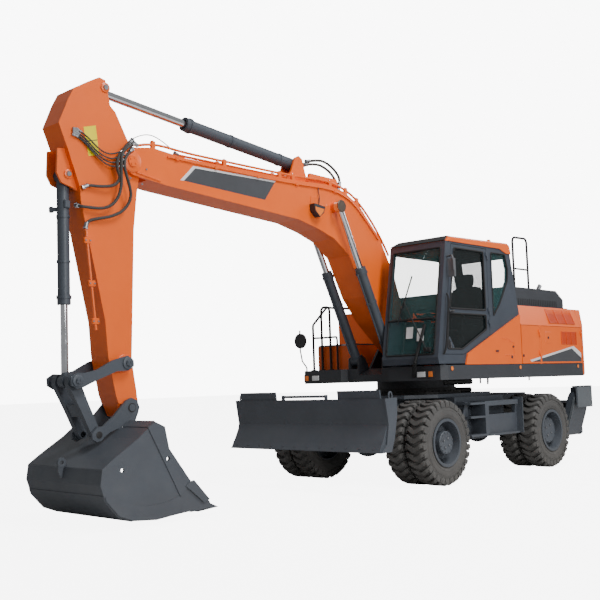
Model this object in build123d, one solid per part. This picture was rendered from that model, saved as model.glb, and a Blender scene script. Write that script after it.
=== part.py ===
from build123d import *
import math
import os

os.makedirs("parts", exist_ok=True)

# A wheeled excavator in millimetres, +X toward the blade and the boom, +Y toward the cab side, +Z up.
# Sizes are first given from the slew axis. The whole machine is then moved by slew_x, so that the
# middle of its length stands over the origin.
slew_x = -1388.0

# running gear
wheelbase = 2600.0
fixed_axle_x = 1095.0
steer_axle_x = fixed_axle_x - wheelbase
tyre_r = 520.0
tyre_w = 278.0
twin_pitch = 312.0
over_tyres = 2516.0
rim_r = 292.0
outer_tyre_y = over_tyres / 2 - tyre_w / 2
inner_tyre_y = outer_tyre_y - twin_pitch
tyre_inside_y = inner_tyre_y - tyre_w / 2
kingpin_y = 640.0
hub_fixed = (140.0, 112.0)
hub_steer = (180.0, 68.0)
stub_r = 90.0
wheel_z = tyre_r

# undercarriage
frame_half = 385.0
frame_bottom = 470.0
frame_top = 1050.0
frame_front_x = fixed_axle_x + 605.0
frame_rear_x = steer_axle_x - 895.0
step_front_x = fixed_axle_x - tyre_r - 95.0
step_rear_x = steer_axle_x + tyre_r + 240.0
step_outer_y = 1165.0
step_bottom = 556.0
step_top = 985.0
ladder_x = 10.0
ring_r = 560.0
ring_z = 1180.0

# blade
blade_half = 1250.0
blade_pivot = (1480.0, 640.0)
blade_profile = [(2376, 486), (2268, 578), (2222, 795), (2262, 1092)]
blade_plate = 24.0

# upper structure
deck_z0 = 1268.0
deck_z1 = 1462.0
half_w = 1222.0
deck_front_x = 1035.0
deck_rear_x = -2600.0
crease_z = 2007.0
shoulder_z = 2287.0
shoulder_in = 95.0
panel_front_x = -825.0
door_split_x = deck_rear_x + 1246.0
door_rear_x = deck_rear_x
post_half = 18.0
tail_x = deck_rear_x - 250.0
lid_top = 2560.0
lid_z = shoulder_z + 0.3
wall = 26.0

# cab
cab_y0 = 332.0
cab_y1 = 1204.0
cab_z0 = 1480.0
cab_side = [(1128, cab_z0), (1142, 1560), (876, 3030), (-652, 3030), (-832, 2150), (-832, cab_z0)]
cab_wall = 46.0

# boom group, the centre plane lies a little to the right of the slew axis
boom_y = -50.0
boom_half = 190.0
arm_half = 150.0
ear_in = 160.0
ear_out = 190.0
link_in = 196.0
link_out = 222.0
boom_cyl_y = 290.0
pin_a = (300.0, 1740.0)
pin_b = (4882.0, 3616.0)
pin_c = (2300.0, 4011.0)
pin_d = (5170.0, 4340.0)
pin_e = (5575.0, 3400.0)
pin_f = (5565.0, 1385.0)
pin_g = (4985.0, 1549.0)
pin_h = (4924.0, 1107.0)
pin_i = (5310.0, 860.0)
pin_j = (1777.0, 3504.0)
pin_k = (850.0, 1575.0)
bucket_half = 650.0
fit = 1.0
run_gap = 0.3
hinge_r = 9.0
hinge_out = hinge_r + run_gap


def save(name, *solids):
    """Write one node as a STEP file in the shared frame."""
    bodies = []
    for item in solids:
        bodies.extend((Pos(slew_x, 0, 0) * item).solids())
    shape = bodies[0] if len(bodies) == 1 else Compound(children=bodies)
    export_step(shape, f"parts/{name}.step")


def box(x0, x1, y0, y1, z0, z1):
    """A block between two corners."""
    middle = Pos((x0 + x1) / 2, (y0 + y1) / 2, (z0 + z1) / 2)
    return middle * Box(abs(x1 - x0), abs(y1 - y0), abs(z1 - z0))


def plate(points, y0, y1, soft=0.0):
    """An outline in X and Z, drawn out from y0 to y1, its corners rounded by soft."""
    outline = make_face(Polyline(*points, close=True))
    if soft:
        outline = fillet(outline.vertices(), soft)
    outline = Plane.XZ * outline
    return Pos(0, max(y0, y1), 0) * extrude(outline, amount=abs(y1 - y0))


def across(points, x0, x1):
    """An outline in Y and Z, drawn out from x0 to x1."""
    outline = Plane.YZ * make_face(Polyline(*points, close=True))
    return Pos(min(x0, x1), 0, 0) * extrude(outline, amount=abs(x1 - x0))


def flat(points, z0, z1):
    """An outline in X and Y, drawn out from z0 to z1."""
    outline = make_face(Polyline(*points, close=True))
    return Pos(0, 0, min(z0, z1)) * extrude(outline, amount=abs(z1 - z0))


def pin(at, r, y0, y1):
    """A round bar along Y."""
    return Pos(at[0], (y0 + y1) / 2, at[1]) * Rot(90, 0, 0) * Cylinder(r, abs(y1 - y0))


def bar(p0, p1, r):
    """A round bar between two points."""
    start = Vector(*p0)
    way = Vector(*p1) - start
    return Plane(start, z_dir=way) * Pos(0, 0, way.length / 2) * Cylinder(r, way.length)


def tube(points, r, bend):
    """A bent rail through the points."""
    path = FilletPolyline(*points, radius=bend)
    section = Plane(path @ 0, z_dir=path % 0) * Circle(r)
    return sweep(section, path)


def along(p0, p1, length):
    """The point at a length from p0 toward p1, in X and Z."""
    dx = p1[0] - p0[0]
    dz = p1[1] - p0[1]
    size = math.hypot(dx, dz)
    return (p0[0] + dx * length / size, p0[1] + dz * length / size)


def span(p0, p1):
    """The distance between two points in X and Z."""
    return math.hypot(p1[0] - p0[0], p1[1] - p0[1])


def barrel(p_foot, p_eye, y, r, length, eye_r, eye_half, bore):
    """A cylinder's barrel: a foot eye, a tube open at the rod's end and its gland."""
    end = along(p_foot, p_eye, length)
    back = along(p_foot, p_eye, eye_r * 0.6)
    body = bar((back[0], y, back[1]), (end[0], y, end[1]), r)
    neck = along(p_foot, p_eye, length - 90)
    body += bar((neck[0], y, neck[1]), (end[0], y, end[1]), r * 1.1)
    body += pin(p_foot, eye_r, y - eye_half, y + eye_half)
    body -= pin(p_foot, bore, y - eye_half - 20, y + eye_half + 20)
    start = along(p_foot, p_eye, eye_r + 30)
    body -= bar((start[0], y, start[1]), (end[0], y, end[1]), r * 0.72)
    return body


def rod(p_foot, p_eye, y, r, barrel_r, inside, eye_r, eye_half, bore):
    """A cylinder's rod: piston, chrome bar and the eye at its end."""
    total = span(p_foot, p_eye)
    start = along(p_foot, p_eye, inside)
    head = along(p_foot, p_eye, inside + 60)
    stop = along(p_foot, p_eye, total - eye_r * 0.6)
    body = bar((start[0], y, start[1]), (stop[0], y, stop[1]), r)
    body += bar((start[0], y, start[1]), (head[0], y, head[1]), barrel_r * 0.72 - run_gap)
    body += pin(p_eye, eye_r, y - eye_half, y + eye_half)
    body -= pin(p_eye, bore, y - eye_half - 20, y + eye_half + 20)
    return body


hinge_heights = (1560.0, 1860.0)
knuckle_h = 44.0


def knuckle(x, y, z0, side, leaf):
    """Half of a door hinge: a barrel on the hinge line and a leaf toward +X (leaf 1) or -X (leaf -1)."""
    half = Pos(x, y, z0 + knuckle_h / 2) * Cylinder(hinge_r, knuckle_h)
    half += box(x + leaf * 2, x + leaf * 34, y - side * (hinge_out + 4), y + side * 4, z0, z0 + knuckle_h)
    return half


lid_hinge_ys = (-760.0, 460.0)
lid_hinge_x = deck_rear_x + 188
lid_hinge_z = shoulder_z + hinge_out


def lid_knuckle(y0, leaf):
    """Half of a hinge of the hood lid: a barrel across and a leaf toward +X (leaf 1) or -X (leaf -1)."""
    half = Pos(lid_hinge_x, y0 + knuckle_h / 2, lid_hinge_z) * Rot(90, 0, 0) * Cylinder(hinge_r, knuckle_h)
    low_z = shoulder_z + 1 if leaf == 1 else shoulder_z - 10
    half += box(lid_hinge_x, lid_hinge_x + leaf * 40, y0, y0 + knuckle_h, low_z, lid_hinge_z)
    return half


# Wheels: each pair of twin tyres turns as one with its rims and hub
tyre_profile = [(rim_r - 22, -0.40), (rim_r + 8, -0.46), (tyre_r - 120, -0.5), (tyre_r - 45, -0.49),
                (tyre_r - 8, -0.40), (tyre_r, -0.30), (tyre_r, 0.30), (tyre_r - 8, 0.40),
                (tyre_r - 45, 0.49), (tyre_r - 120, 0.5), (rim_r + 8, 0.46), (rim_r - 22, 0.40)]


def tyre(x, y):
    """One plain tyre, as wide and as high as its lugs reach."""
    ring = make_face(Polyline(*[(r, w * tyre_w) for r, w in tyre_profile], close=True))
    solid = revolve(Plane.XY * ring, axis=Axis.Y)
    return Pos(x, y, wheel_z) * solid


def wheel_steel(x, side, hub_r, hub_out):
    """Two rims on one hub. The hub's face stands hub_out past the middle of the outer tyre."""
    out = side * (outer_tyre_y + tyre_w * 0.49)
    deep = side * (outer_tyre_y - 20)
    inn = side * (inner_tyre_y - tyre_w * 0.40)
    at = (x, wheel_z)
    shell = pin(at, rim_r - 22 - fit, side * (outer_tyre_y - tyre_w * 0.40), out)
    shell += pin(at, rim_r, side * (outer_tyre_y + tyre_w * 0.455), out)
    dish = Pos(x, (deep + out) / 2, wheel_z) * Rot(-90 * side, 0, 0)
    shell -= dish * Cone(rim_r - 56, rim_r - 34, abs(out - deep) + 1)
    shell += pin(at, rim_r - 22 - fit, inn, side * (inner_tyre_y + tyre_w * 0.40))
    shell -= pin(at, rim_r - 34, inn - side * 5, side * (inner_tyre_y + 40))
    shell += pin(at, rim_r - 60, side * (inner_tyre_y + tyre_w * 0.38), side * (outer_tyre_y - tyre_w * 0.38))
    shell += pin(at, hub_r + 16, deep - side * 10, side * (outer_tyre_y + 12))
    shell += pin(at, hub_r, side * outer_tyre_y, side * (outer_tyre_y + hub_out))
    shell -= pin(at, stub_r + run_gap, inn - side * 5, side * (inner_tyre_y + 60))
    return shell


wheels = [("fixed_left", fixed_axle_x, 1, hub_fixed), ("fixed_right", fixed_axle_x, -1, hub_fixed),
          ("steer_left", steer_axle_x, 1, hub_steer), ("steer_right", steer_axle_x, -1, hub_steer)]
for name, x, side, hub in wheels:
    save(f"tyres_{name}", tyre(x, side * outer_tyre_y), tyre(x, side * inner_tyre_y))
    save(f"wheel_{name}", wheel_steel(x, side, *hub))

# Axles: a solid axle under the blade end and a steering axle with two knuckles
axle_in = inner_tyre_y - 5
fixed_axle = pin((fixed_axle_x, wheel_z), 118, -tyre_inside_y - 60, tyre_inside_y + 60)
fixed_axle += pin((fixed_axle_x, wheel_z), stub_r, -axle_in - 50, axle_in + 50)
fixed_axle += Pos(fixed_axle_x, 0, wheel_z) * Sphere(205)
fixed_axle += box(fixed_axle_x - 130, fixed_axle_x + 130, -360, 360, wheel_z + 60, 730)
save("axle_fixed", fixed_axle)

steer_axle = pin((steer_axle_x, wheel_z), 96, -kingpin_y + 110, kingpin_y - 110)
steer_axle += Pos(steer_axle_x, 0, wheel_z) * Sphere(190)
steer_axle += box(steer_axle_x - 110, steer_axle_x + 110, -110, 110, wheel_z + 80, wheel_z + 240)
for side in (1, -1):
    yoke = box(steer_axle_x - 60, steer_axle_x + 60, side * (kingpin_y - 150), side * (kingpin_y - 90),
               wheel_z - 150, wheel_z + 150)
    for dz in (-1, 1):
        lug = Pos(steer_axle_x, side * kingpin_y, wheel_z + dz * 135) * Cylinder(60, 30)
        arm = box(steer_axle_x - 60, steer_axle_x + 60, side * (kingpin_y - 120), side * kingpin_y,
                  wheel_z + dz * 135 - 15, wheel_z + dz * 135 + 15)
        yoke += lug + arm
    steer_axle += yoke
save("axle_steer", steer_axle)

for name, side in (("left", 1), ("right", -1)):
    post = Pos(steer_axle_x, side * kingpin_y, wheel_z) * Cylinder(58, 240 - 2 * run_gap)
    post += pin((steer_axle_x, wheel_z), stub_r, side * kingpin_y, side * (inner_tyre_y + 45))
    post += box(steer_axle_x - 240, steer_axle_x, side * (kingpin_y - 30), side * (kingpin_y + 12),
                wheel_z - 60, wheel_z - 30)
    save(f"knuckle_{name}", post)

# Undercarriage frame: a box between the axles, a table for the slew ring, ends for blade and outriggers
stay_rear_x = frame_rear_x - 530.0
leg_pivot_y = 930.0
leg_pivot_z = 430.0
leg_x = (stay_rear_x + frame_rear_x) / 2
leg_foot = (180.0, 760.0)
leg_eye = (862.0, 660.0)
frame_side = [(frame_front_x, 790), (frame_front_x, 1000), (frame_front_x - 200, frame_top),
              (frame_rear_x + 100, frame_top), (frame_rear_x, 900), (frame_rear_x, 640), (steer_axle_x - 395, 760),
              (steer_axle_x + 355, 760), (steer_axle_x + 555, frame_bottom), (fixed_axle_x - 395, frame_bottom),
              (fixed_axle_x - 235, 730), (fixed_axle_x + 235, 730), (fixed_axle_x + 305, 790)]
frame = plate(frame_side, -frame_half, frame_half)
inner_side = [(frame_front_x + 10, 830), (frame_front_x + 10, 960), (frame_front_x - 220, frame_top - 24),
              (frame_rear_x + 120, frame_top - 24), (frame_rear_x + 40, 900), (frame_rear_x + 40, 830)]
frame -= plate(inner_side, -frame_half + 22, frame_half - 22)
table = flat([(1010, -560), (1010, 560), (640, 820), (-560, 820), (-960, 600), (-960, -600),
              (-560, -820), (640, -820)], frame_top, frame_top + 46)
frame += table
for side in (1, -1):
    ear = plate([(1420, 570), (1540, 570), (1640, 800), (1360, 800)], side * 296, side * 338)
    ear -= pin(blade_pivot, 30 + run_gap, side * 290, side * 350)
    frame += ear
# the box across the rear end, open toward the sides, that carries the outriggers
stay = box(stay_rear_x, frame_rear_x, -860, 860, 400, 900)
stay -= box(stay_rear_x + 40, frame_rear_x - 40, -900, 900, 440, 860)
stay += box(stay_rear_x + 10, frame_rear_x - 10, -40, 40, 420, 880)
stay += box(frame_rear_x - 10, frame_rear_x + 90, -frame_half, frame_half, 640, 900)
for side in (1, -1):
    stay -= box(leg_x - 90, leg_x + 90, side * 640, side * 900, 380, 460)
    for x0 in (stay_rear_x, frame_rear_x - 40):
        lug = across([(side * 820, 370), (side * 960, 370), (side * 996, 400), (side * 996, 470), (side * 960, 500),
                      (side * 820, 500)], x0, x0 + 40)
        lug -= Pos(x0 + 20, side * leg_pivot_y, leg_pivot_z) * Rot(0, 90, 0) * Cylinder(30 + run_gap, 80)
        stay += lug
    for dx in (-62, 46):
        cheek = across([(side * 30, 700), (side * 30, 820), (side * 210, 800), (side * 226, 760), (side * 210, 720)],
                       leg_x + dx, leg_x + dx + 16)
        stay += cheek
    stay += Pos(leg_x, side * leg_foot[0], leg_foot[1]) * Rot(0, 90, 0) * Cylinder(20, 124)
frame += stay

ring = Pos(0, 0, (frame_top + 46 + ring_z) / 2) * Cylinder(ring_r, ring_z - frame_top - 46)
ring -= Pos(0, 0, 1150) * Cylinder(ring_r - 120, 300)
ring += Pos(0, 0, frame_top + 60) * Cylinder(ring_r + 60, 28)
ring -= Pos(0, 0, frame_top + 60) * Cylinder(ring_r - 120, 60)
save("slew_ring", ring)

# Step boxes: a closed box with a beam and a lip behind, a ladder of three treads ahead of it, and a
# flange that faces forward beside the steered tyres
tread_tops = (step_bottom + 10, step_top - 185, step_top - 10)
flange_x = step_rear_x - 62
for name, side in (("left", 1), ("right", -1)):
    outer = side * step_outer_y
    inner = side * frame_half
    deep = side * (step_outer_y - 230)
    steps = box(step_rear_x, step_front_x, inner, deep, step_bottom, step_top)
    steps += box(step_rear_x, ladder_x, inner, side * (step_outer_y - 50), step_bottom, step_top - 178)
    steps += box(step_rear_x, ladder_x, inner, outer, step_top - 62, step_top)
    steps += box(step_rear_x, ladder_x, inner, side * (step_outer_y + 15), step_bottom - 26, step_bottom)
    steps += box(ladder_x - 16, ladder_x + 70, inner, outer, step_bottom - 26, step_top)
    for z in tread_tops:
        steps += box(ladder_x, step_front_x - 60, deep, outer, z - 26, z)
    steps += box(ladder_x, step_front_x - 150, inner, side * (step_outer_y - 60), step_bottom - 44, step_bottom)
    steps += plate([(step_front_x - 90, step_bottom - 44), (step_front_x - 20, step_bottom - 20),
                    (step_front_x, step_bottom + 190), (step_front_x - 110, step_top), (step_front_x - 150, step_top)],
                   side * (step_outer_y - 120), side * (step_outer_y - 104))
    steps += box(step_front_x - 150, step_front_x - 90, deep, side * (step_outer_y - 104), step_bottom - 44, step_top)
    steps += box(flange_x, step_rear_x, side * 1060, side * 1110, step_bottom, step_top)
    steps += box(flange_x, flange_x + 16, side * 1060, side * 1205, step_bottom - 26, step_top + 30)
    steps += box(step_rear_x, step_front_x - 40, inner, deep, step_top, frame_top)
    save(f"step_box_{name}", steps)

lift_foot = (1765.0, 985.0)
lift_eye = (2090.0, 640.0)
for side in (1, -1):
    for y0 in (82, 178):
        cheek = plate([(1690, 900), (1690, 1030), (1765, 1030), (1810, 1000), (1800, 950)],
                      side * y0, side * (y0 + 16))
        frame += cheek
    frame += pin(lift_foot, 20, side * 82, side * 194)

save("chassis_frame", frame)

# Blade with its two lift arms, turned about one pin line under the front of the frame
profile_back = [(x - blade_plate, z) for x, z in blade_profile]
mould = plate(blade_profile + profile_back[::-1], -blade_half + 20, blade_half - 20)
for side in (1, -1):
    y0 = side * (blade_half - 20)
    y1 = side * blade_half
    mould += plate([(2376, 486), (2268, 578), (2222, 795), (2272, 1092), (2050, 1100), (2060, 900), (2120, 640),
                    (2180, 492)], y0, y1)
    raised = plate([(2222 + 27, 1085), (2264, 1190), (2240, 1190), (2222 + 3, 1085)], side * 520, side * 1160)
    mould += raised
    mould += plate([(2200, 560), (2160, 560), (2110, 820), (2150, 1090), (2240, 1090), (2210, 800)],
                   side * 600, side * 620)
    mould += plate([(2200, 560), (2160, 560), (2110, 820), (2150, 1090), (2240, 1090), (2210, 800)],
                   side * 1130, side * 1150)
mould += box(2120, 2222, -blade_half + 20, blade_half - 20, 760, 830)
for side in (1, -1):
    arm_out = plate([(2230, 520), (2230, 900), (2100, 900), (1760, 700), (1490, 712), (1440, 700), (1410, 640),
                     (1440, 580), (1490, 568), (1800, 560)], side * 346, side * 386)
    mould += arm_out
    mould += pin(blade_pivot, 30, side * 280, side * 386)
mould += box(1830, 1900, -386, 386, 600, 660)
for side in (1, -1):
    for y0 in (82, 178):
        cheek = plate([(2246, 570), (2214, 740), (2110, 700), (2040, 665), (2040, 610), (2100, 580)],
                      side * y0, side * (y0 + 16))
        cheek -= pin(lift_eye, 26, side * (y0 - 10), side * (y0 + 30))
        mould += cheek
save("dozer_blade", mould)

blade_barrels = []
blade_rods = []
for side in (1, -1):
    y = side * 138.0
    blade_barrels.append(barrel(lift_foot, lift_eye, y, 35, 380, 42, 36, 20 + run_gap))
    blade_rods.append(rod(lift_foot, lift_eye, y, 22, 35, 112, 36, 34, 20))
save("blade_cylinder_barrels", *blade_barrels)
save("blade_cylinder_rods", *blade_rods)

# Outriggers: a leg with its foot plate turned outward, folded up beside the frame
for name, side in (("left", 1), ("right", -1)):
    leg = across([(side * 878, 415), (side * 905, 376), (side * 950, 374), (side * 985, 410), (side * 1080, 700),
                  (side * 1150, 960), (side * 1130, 1030), (side * 1060, 1030), (side * 1020, 960)],
                 stay_rear_x + 50, frame_rear_x - 50)
    for dx in (-52, 36):
        ear = across([(side * 880, 540), (side * 850, 606), (side * 820, 640), (side * 822, 684), (side * 860, 704),
                      (side * 960, 700), (side * 960, 540)], leg_x + dx, leg_x + dx + 16)
        leg += ear
    leg += Pos(leg_x, side * leg_pivot_y, leg_pivot_z) * Rot(0, 90, 0) * Cylinder(30, frame_rear_x - stay_rear_x)
    foot = box(stay_rear_x + 28, frame_rear_x - 28, side * 1170, side * 1196, 800, 1124)
    foot += box(stay_rear_x + 28, frame_rear_x - 28, side * 1110, side * 1196, 1098, 1124)
    for dx in (-190, 170):
        foot += box(leg_x + dx, leg_x + dx + 20, side * 1060, side * 1176, 860, 1100)
    leg += foot
    save(f"outrigger_{name}", leg)
    turn = Rot(0, 0, 90) if side == 1 else Rot(0, 0, -90)
    tube_part = barrel(leg_foot, leg_eye, 0, 40, 540, 44, 36, 20 + run_gap)
    bar_part = rod(leg_foot, leg_eye, 0, 24, 40, 90, 36, 30, 20)
    save(f"outrigger_barrel_{name}", Pos(leg_x, 0, 0) * turn * tube_part)
    save(f"outrigger_rod_{name}", Pos(leg_x, 0, 0) * turn * bar_part)

# Upper structure: the deck with its skirts, the boom's and the boom cylinders' brackets
corner = 70.0
deck_line = [(deck_front_x, -half_w + corner), (deck_front_x - corner, -half_w), (deck_rear_x, -half_w),
             (deck_rear_x, half_w), (deck_front_x - corner, half_w), (deck_front_x, half_w - corner),
             (deck_front_x, 340), (deck_front_x - 100, 324), (deck_front_x - 100, -440), (deck_front_x, -480)]
deck = flat(deck_line, deck_z0 + 12, deck_z1)
deck -= flat([(deck_front_x - 130, -half_w + 90), (deck_rear_x + 60, -half_w + 90), (deck_rear_x + 60, -half_w + 22),
              (deck_front_x - 130, -half_w + 22)], deck_z0, deck_z1 - 20)
deck += Pos(0, 0, (ring_z + run_gap + deck_z0 + 12) / 2) * Cylinder(ring_r - 20, deck_z0 + 12 - ring_z - run_gap)
boom_foot_half = boom_half + 12
for side in (1, -1):
    y0 = boom_y + side * boom_foot_half
    lug = plate([(30, deck_z1 - 10), (680, deck_z1 - 10), (460, 1740), (400, 1845), (300, 1880), (195, 1840),
                 (150, 1740)], y0, y0 + side * 36)
    deck += lug
deck += pin(pin_a, 44, boom_y - boom_foot_half - 50, boom_y + boom_foot_half + 50)
# a sloping recess lets the boom's belly down in front of its foot
deck -= plate([(684, deck_z1 + 1), (deck_front_x - 90, deck_z1 - 86), (deck_front_x - 90, deck_z1 + 1)],
              boom_y - boom_half - 10, boom_y + boom_half + 10)
for side in (1, -1):
    y0 = boom_y + side * boom_cyl_y
    for dy in (-88, 74):
        lug = plate([(700, deck_z1 - 10), (deck_front_x - 101, deck_z1 - 10), (925, 1600), (850, 1655), (770, 1600)],
                    y0 + dy, y0 + dy + 14)
        deck += lug
    deck += pin(pin_k, 36, y0 - 88, y0 + 88)
save("upper_frame", deck)

# Counterweight, curved in plan, and the engine as one block
weight_line = [(deck_rear_x - 4, -half_w), (tail_x + 160, -1208), (tail_x + 75, -1130), (tail_x + 25, -960),
               (tail_x, -560), (tail_x, 560), (tail_x + 25, 960), (tail_x + 75, 1130), (tail_x + 160, 1208),
               (deck_rear_x - 4, half_w)]
weight = flat(weight_line, deck_z0 + 6, shoulder_z)
for face, soft in ((weight.faces().sort_by(Axis.Z)[-1], 70), (weight.faces().sort_by(Axis.Z)[0], 40)):
    weight = fillet([e for e in face.edges() if e.center().X < deck_rear_x - 10], soft)
# its sides lean in above the crease, as the body's bands do
weight_side = [(half_w, deck_z0), (half_w, crease_z), (half_w - shoulder_in, shoulder_z + 5)]
weight &= across(weight_side + [(-y, z) for y, z in weight_side[::-1]], tail_x - 10, deck_rear_x)
for side in (1, -1):
    weight -= Pos(tail_x + 135, side * 620, shoulder_z) * Cylinder(32, 200)
for side in (1, -1):
    for z0 in hinge_heights:
        weight += knuckle(door_rear_x + 4, side * (half_w + hinge_out), z0, side, -1)
weight += box(deck_rear_x + 90, deck_rear_x - 10, -700, 700, deck_z1, shoulder_z - 120)
save("counterweight", weight)
save("engine_block", box(deck_rear_x + 200, deck_rear_x + 1350, -760, 520, deck_z1, 2180))

# Body panels: side bands that lean in over the doors, posts, front walls and the right tank
band = [(half_w, crease_z), (half_w - shoulder_in, shoulder_z), (1040, shoulder_z), (1040, shoulder_z - wall),
        (half_w - shoulder_in - 18, shoulder_z - wall), (half_w - wall, crease_z)]
panels = across(band, door_rear_x, panel_front_x - 12)
panels += across([(-y, z) for y, z in band], door_rear_x, panel_front_x - 12)
for side in (1, -1):
    for x0 in (panel_front_x - 72, door_split_x - 30, door_rear_x):
        panels += box(x0, x0 + 60, side * 1120, side * 1180, deck_z1, crease_z + 30)
        panels += box(x0, x0 + 60, side * 1120, side * (half_w - wall + 2), crease_z + 6, crease_z + 30)
# the post between the left doors comes out flush, and the front door hangs on it
panels += box(door_split_x - post_half, door_split_x + post_half, 1170, half_w, deck_z1, crease_z)
for z0 in hinge_heights:
    panels += knuckle(door_split_x + post_half + 4, half_w + hinge_out, z0, 1, -1)
panels += box(panel_front_x - 72, panel_front_x - 42, -1040, 1120, deck_z1, shoulder_z)
# the cross member behind the hood, with its halves of the lid's hinges
lid_rear_x = deck_rear_x + 200
panels += box(lid_rear_x - 90, lid_rear_x - 24, -1120, 1120, shoulder_z - 70, shoulder_z - 4)
for y0 in lid_hinge_ys:
    panels += lid_knuckle(y0, -1)
panels += box(panel_front_x - 12, door_split_x - 4, -half_w, -half_w + wall, deck_z1, crease_z)
side_panel = [(560, deck_z1 + 4), (508, 1604), (panel_front_x + 4, 2146), (panel_front_x + 4, deck_z1 + 4)]
panels += plate(side_panel, cab_y1, half_w)
save("body_panels", panels)

# The tank: a tall part behind and a low step in front
tank_front_x = 200.0
tank_step_x = 690.0
tank_rear_x = panel_front_x - 12 + run_gap
tank = box(tank_rear_x, tank_front_x, -half_w, -500, deck_z1, shoulder_z)
tank -= box(tank_rear_x + wall, tank_front_x - wall, -half_w + wall, -526, deck_z1 + 20, shoulder_z - wall)
tank += box(tank_front_x, tank_step_x, -1200, -520, deck_z1, 1800)
tank -= box(tank_front_x + wall, tank_step_x - wall, -1174, -546, deck_z1 + 20, 1776)
save("tank", tank)
save("step_tread", box(tank_front_x + 6, tank_step_x - 6, -1194, -526, 1800, 1822))

# Doors: two on the left, one on the right, each a sheet with a turned edge
post_gap = post_half + 4
doors = [("door_left_front", panel_front_x - 14, door_split_x + post_gap, 1, door_split_x + post_gap, 1),
         ("door_left_rear", door_split_x - post_gap, door_rear_x + 4, 1, door_rear_x + 4, 1),
         ("door_right", door_split_x - 4, door_rear_x + 4, -1, door_rear_x + 4, 1)]
for name, x1, x0, side, hinge_x, inward_x in doors:
    sheet = box(x0, x1, side * (half_w - wall), side * half_w, deck_z1 + 6, crease_z - 6)
    sheet -= box(x0 + 16, x1 - 16, side * (half_w - wall - 5), side * (half_w - 8), deck_z1 + 22, crease_z - 22)
    for z0 in hinge_heights:
        sheet += knuckle(hinge_x, side * (half_w + hinge_out), z0 + knuckle_h + run_gap, side, inward_x)
    save(name, sheet)

# Hood lid with its slots, hinged at the rear, and the fixed strip that carries the handrail
lid_front_x = panel_front_x - 43
lid_side = [(lid_front_x, lid_z), (lid_front_x, lid_top), (lid_rear_x + 210, lid_top), (lid_rear_x, 2430),
            (lid_rear_x, lid_z)]
lid_in = [(lid_front_x - 22, lid_z - 20), (lid_front_x - 22, lid_top - 24), (lid_rear_x + 218, lid_top - 24),
          (lid_rear_x + 22, 2418), (lid_rear_x + 22, lid_z - 20)]
lid = plate(lid_side, -1060, 700)
lid -= plate(lid_in, -1036, 676)
slot_n = 9
slot_pitch = (lid_front_x - lid_rear_x - 430) / (slot_n + 1)
for k in range(slot_n):
    slot_x = lid_front_x - 222 - k * slot_pitch
    lid -= box(slot_x - 40, slot_x, -820, 460, lid_top - 60, lid_top + 20)
for y0 in lid_hinge_ys:
    lid += lid_knuckle(y0 + knuckle_h + run_gap, 1)
save("hood_lid", lid)
strip = plate(lid_side, 708, 1060)
strip -= plate(lid_in, 730, 1036)
strip += box(lid_rear_x, lid_front_x, 1036, half_w - shoulder_in, shoulder_z, shoulder_z + 8)
save("hood_strip", strip)

# Cab: one hollow shell with its walls, windows cut through, roof cap, glass, door and inside
cab_mid = (cab_y0 + cab_y1) / 2
cab_inside = [(1128 - cab_wall, 1480 + cab_wall), (1092, 1560), (828, 2990), (-618, 2990), (-786, 2155),
              (-786, 1480 + cab_wall)]
door_line = [(1014, 1600), (560, 1600), (-60, 1850), (-60, 2996), (756, 2996)]
door_gap = [(1021, 1594), (557, 1594), (-66, 1846), (-66, 3002), (761, 3002)]
quarter = [(-170, 2110), (-170, 2960), (-520, 2960), (-580, 2760), (-560, 2600), (-340, 2280)]
right_pane = [(980, 2060), (840, 2940), (-560, 2940), (-690, 2300), (-640, 2200), (-100, 2060)]
shell = plate(cab_side, cab_y0, cab_y1)
shell -= plate(cab_inside, cab_y0 + cab_wall, cab_y1 - cab_wall)
shell -= plate(door_gap, cab_y1 - cab_wall - 10, cab_y1 + 10)
shell -= plate(quarter, cab_y1 - cab_wall - 10, cab_y1 + 10, 30)
shell -= plate(right_pane, cab_y0 - 10, cab_y0 + cab_wall + 10, 40)
shell -= plate([(1200, 1600), (1000, 1600), (760, 2950), (1000, 2950)], cab_y0 + 60, cab_y1 - 60)
shell -= box(-900, -600, cab_y0 + 80, cab_y1 - 80, 2240, 2920)
for x in (-700, 940):
    for y in (cab_y0 + 80, cab_y1 - 80):
        shell += Pos(x, y, (deck_z1 + cab_z0 + 10) / 2) * Cylinder(48, cab_z0 + 10 - deck_z1)
cab_hinge = (-63.0, cab_y1 + hinge_out)
cab_hinge_heights = (1960.0, 2120.0, 2860.0)
for z0 in cab_hinge_heights:
    shell += knuckle(*cab_hinge, z0, 1, -1)
save("cab_shell", shell)
# the roof cap comes down round the cab's upper rear corner
roof_side = [(878, 3030), (762, 3098), (-600, 3126), (-664, 3100), (-684, 3030), (-684, 2976), (-560, 2976), (-390, 3030)]
roof = plate(roof_side, cab_y0 - 10, cab_y1 + 10)
roof = fillet([e for e in roof.edges() if e.center().Z > 3060 and abs(e.center().Y - cab_mid) > 400], 26)
roof -= plate(cab_side, cab_y0, cab_y1)
save("cab_roof", roof)

pane = 8.0
pane_soft = 55.0
front_pane = [(1112 + 18, 1602), (1112 + 18 - pane, 1602), (880 + 6 - pane, 2948), (880 + 6, 2948)]
glass = [plate(front_pane, cab_y0 + 60, cab_y1 - 60)]
glass.append(plate(quarter, cab_y1 - 20, cab_y1 - 20 + pane, 30))
glass.append(plate(right_pane, cab_y0 + 12, cab_y0 + 12 + pane, 40))
glass.append(plate([(-822, 2242), (-814, 2242), (-690, 2918), (-698, 2918)], cab_y0 + 80, cab_y1 - 80))
save("cab_glass", *glass)

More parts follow.
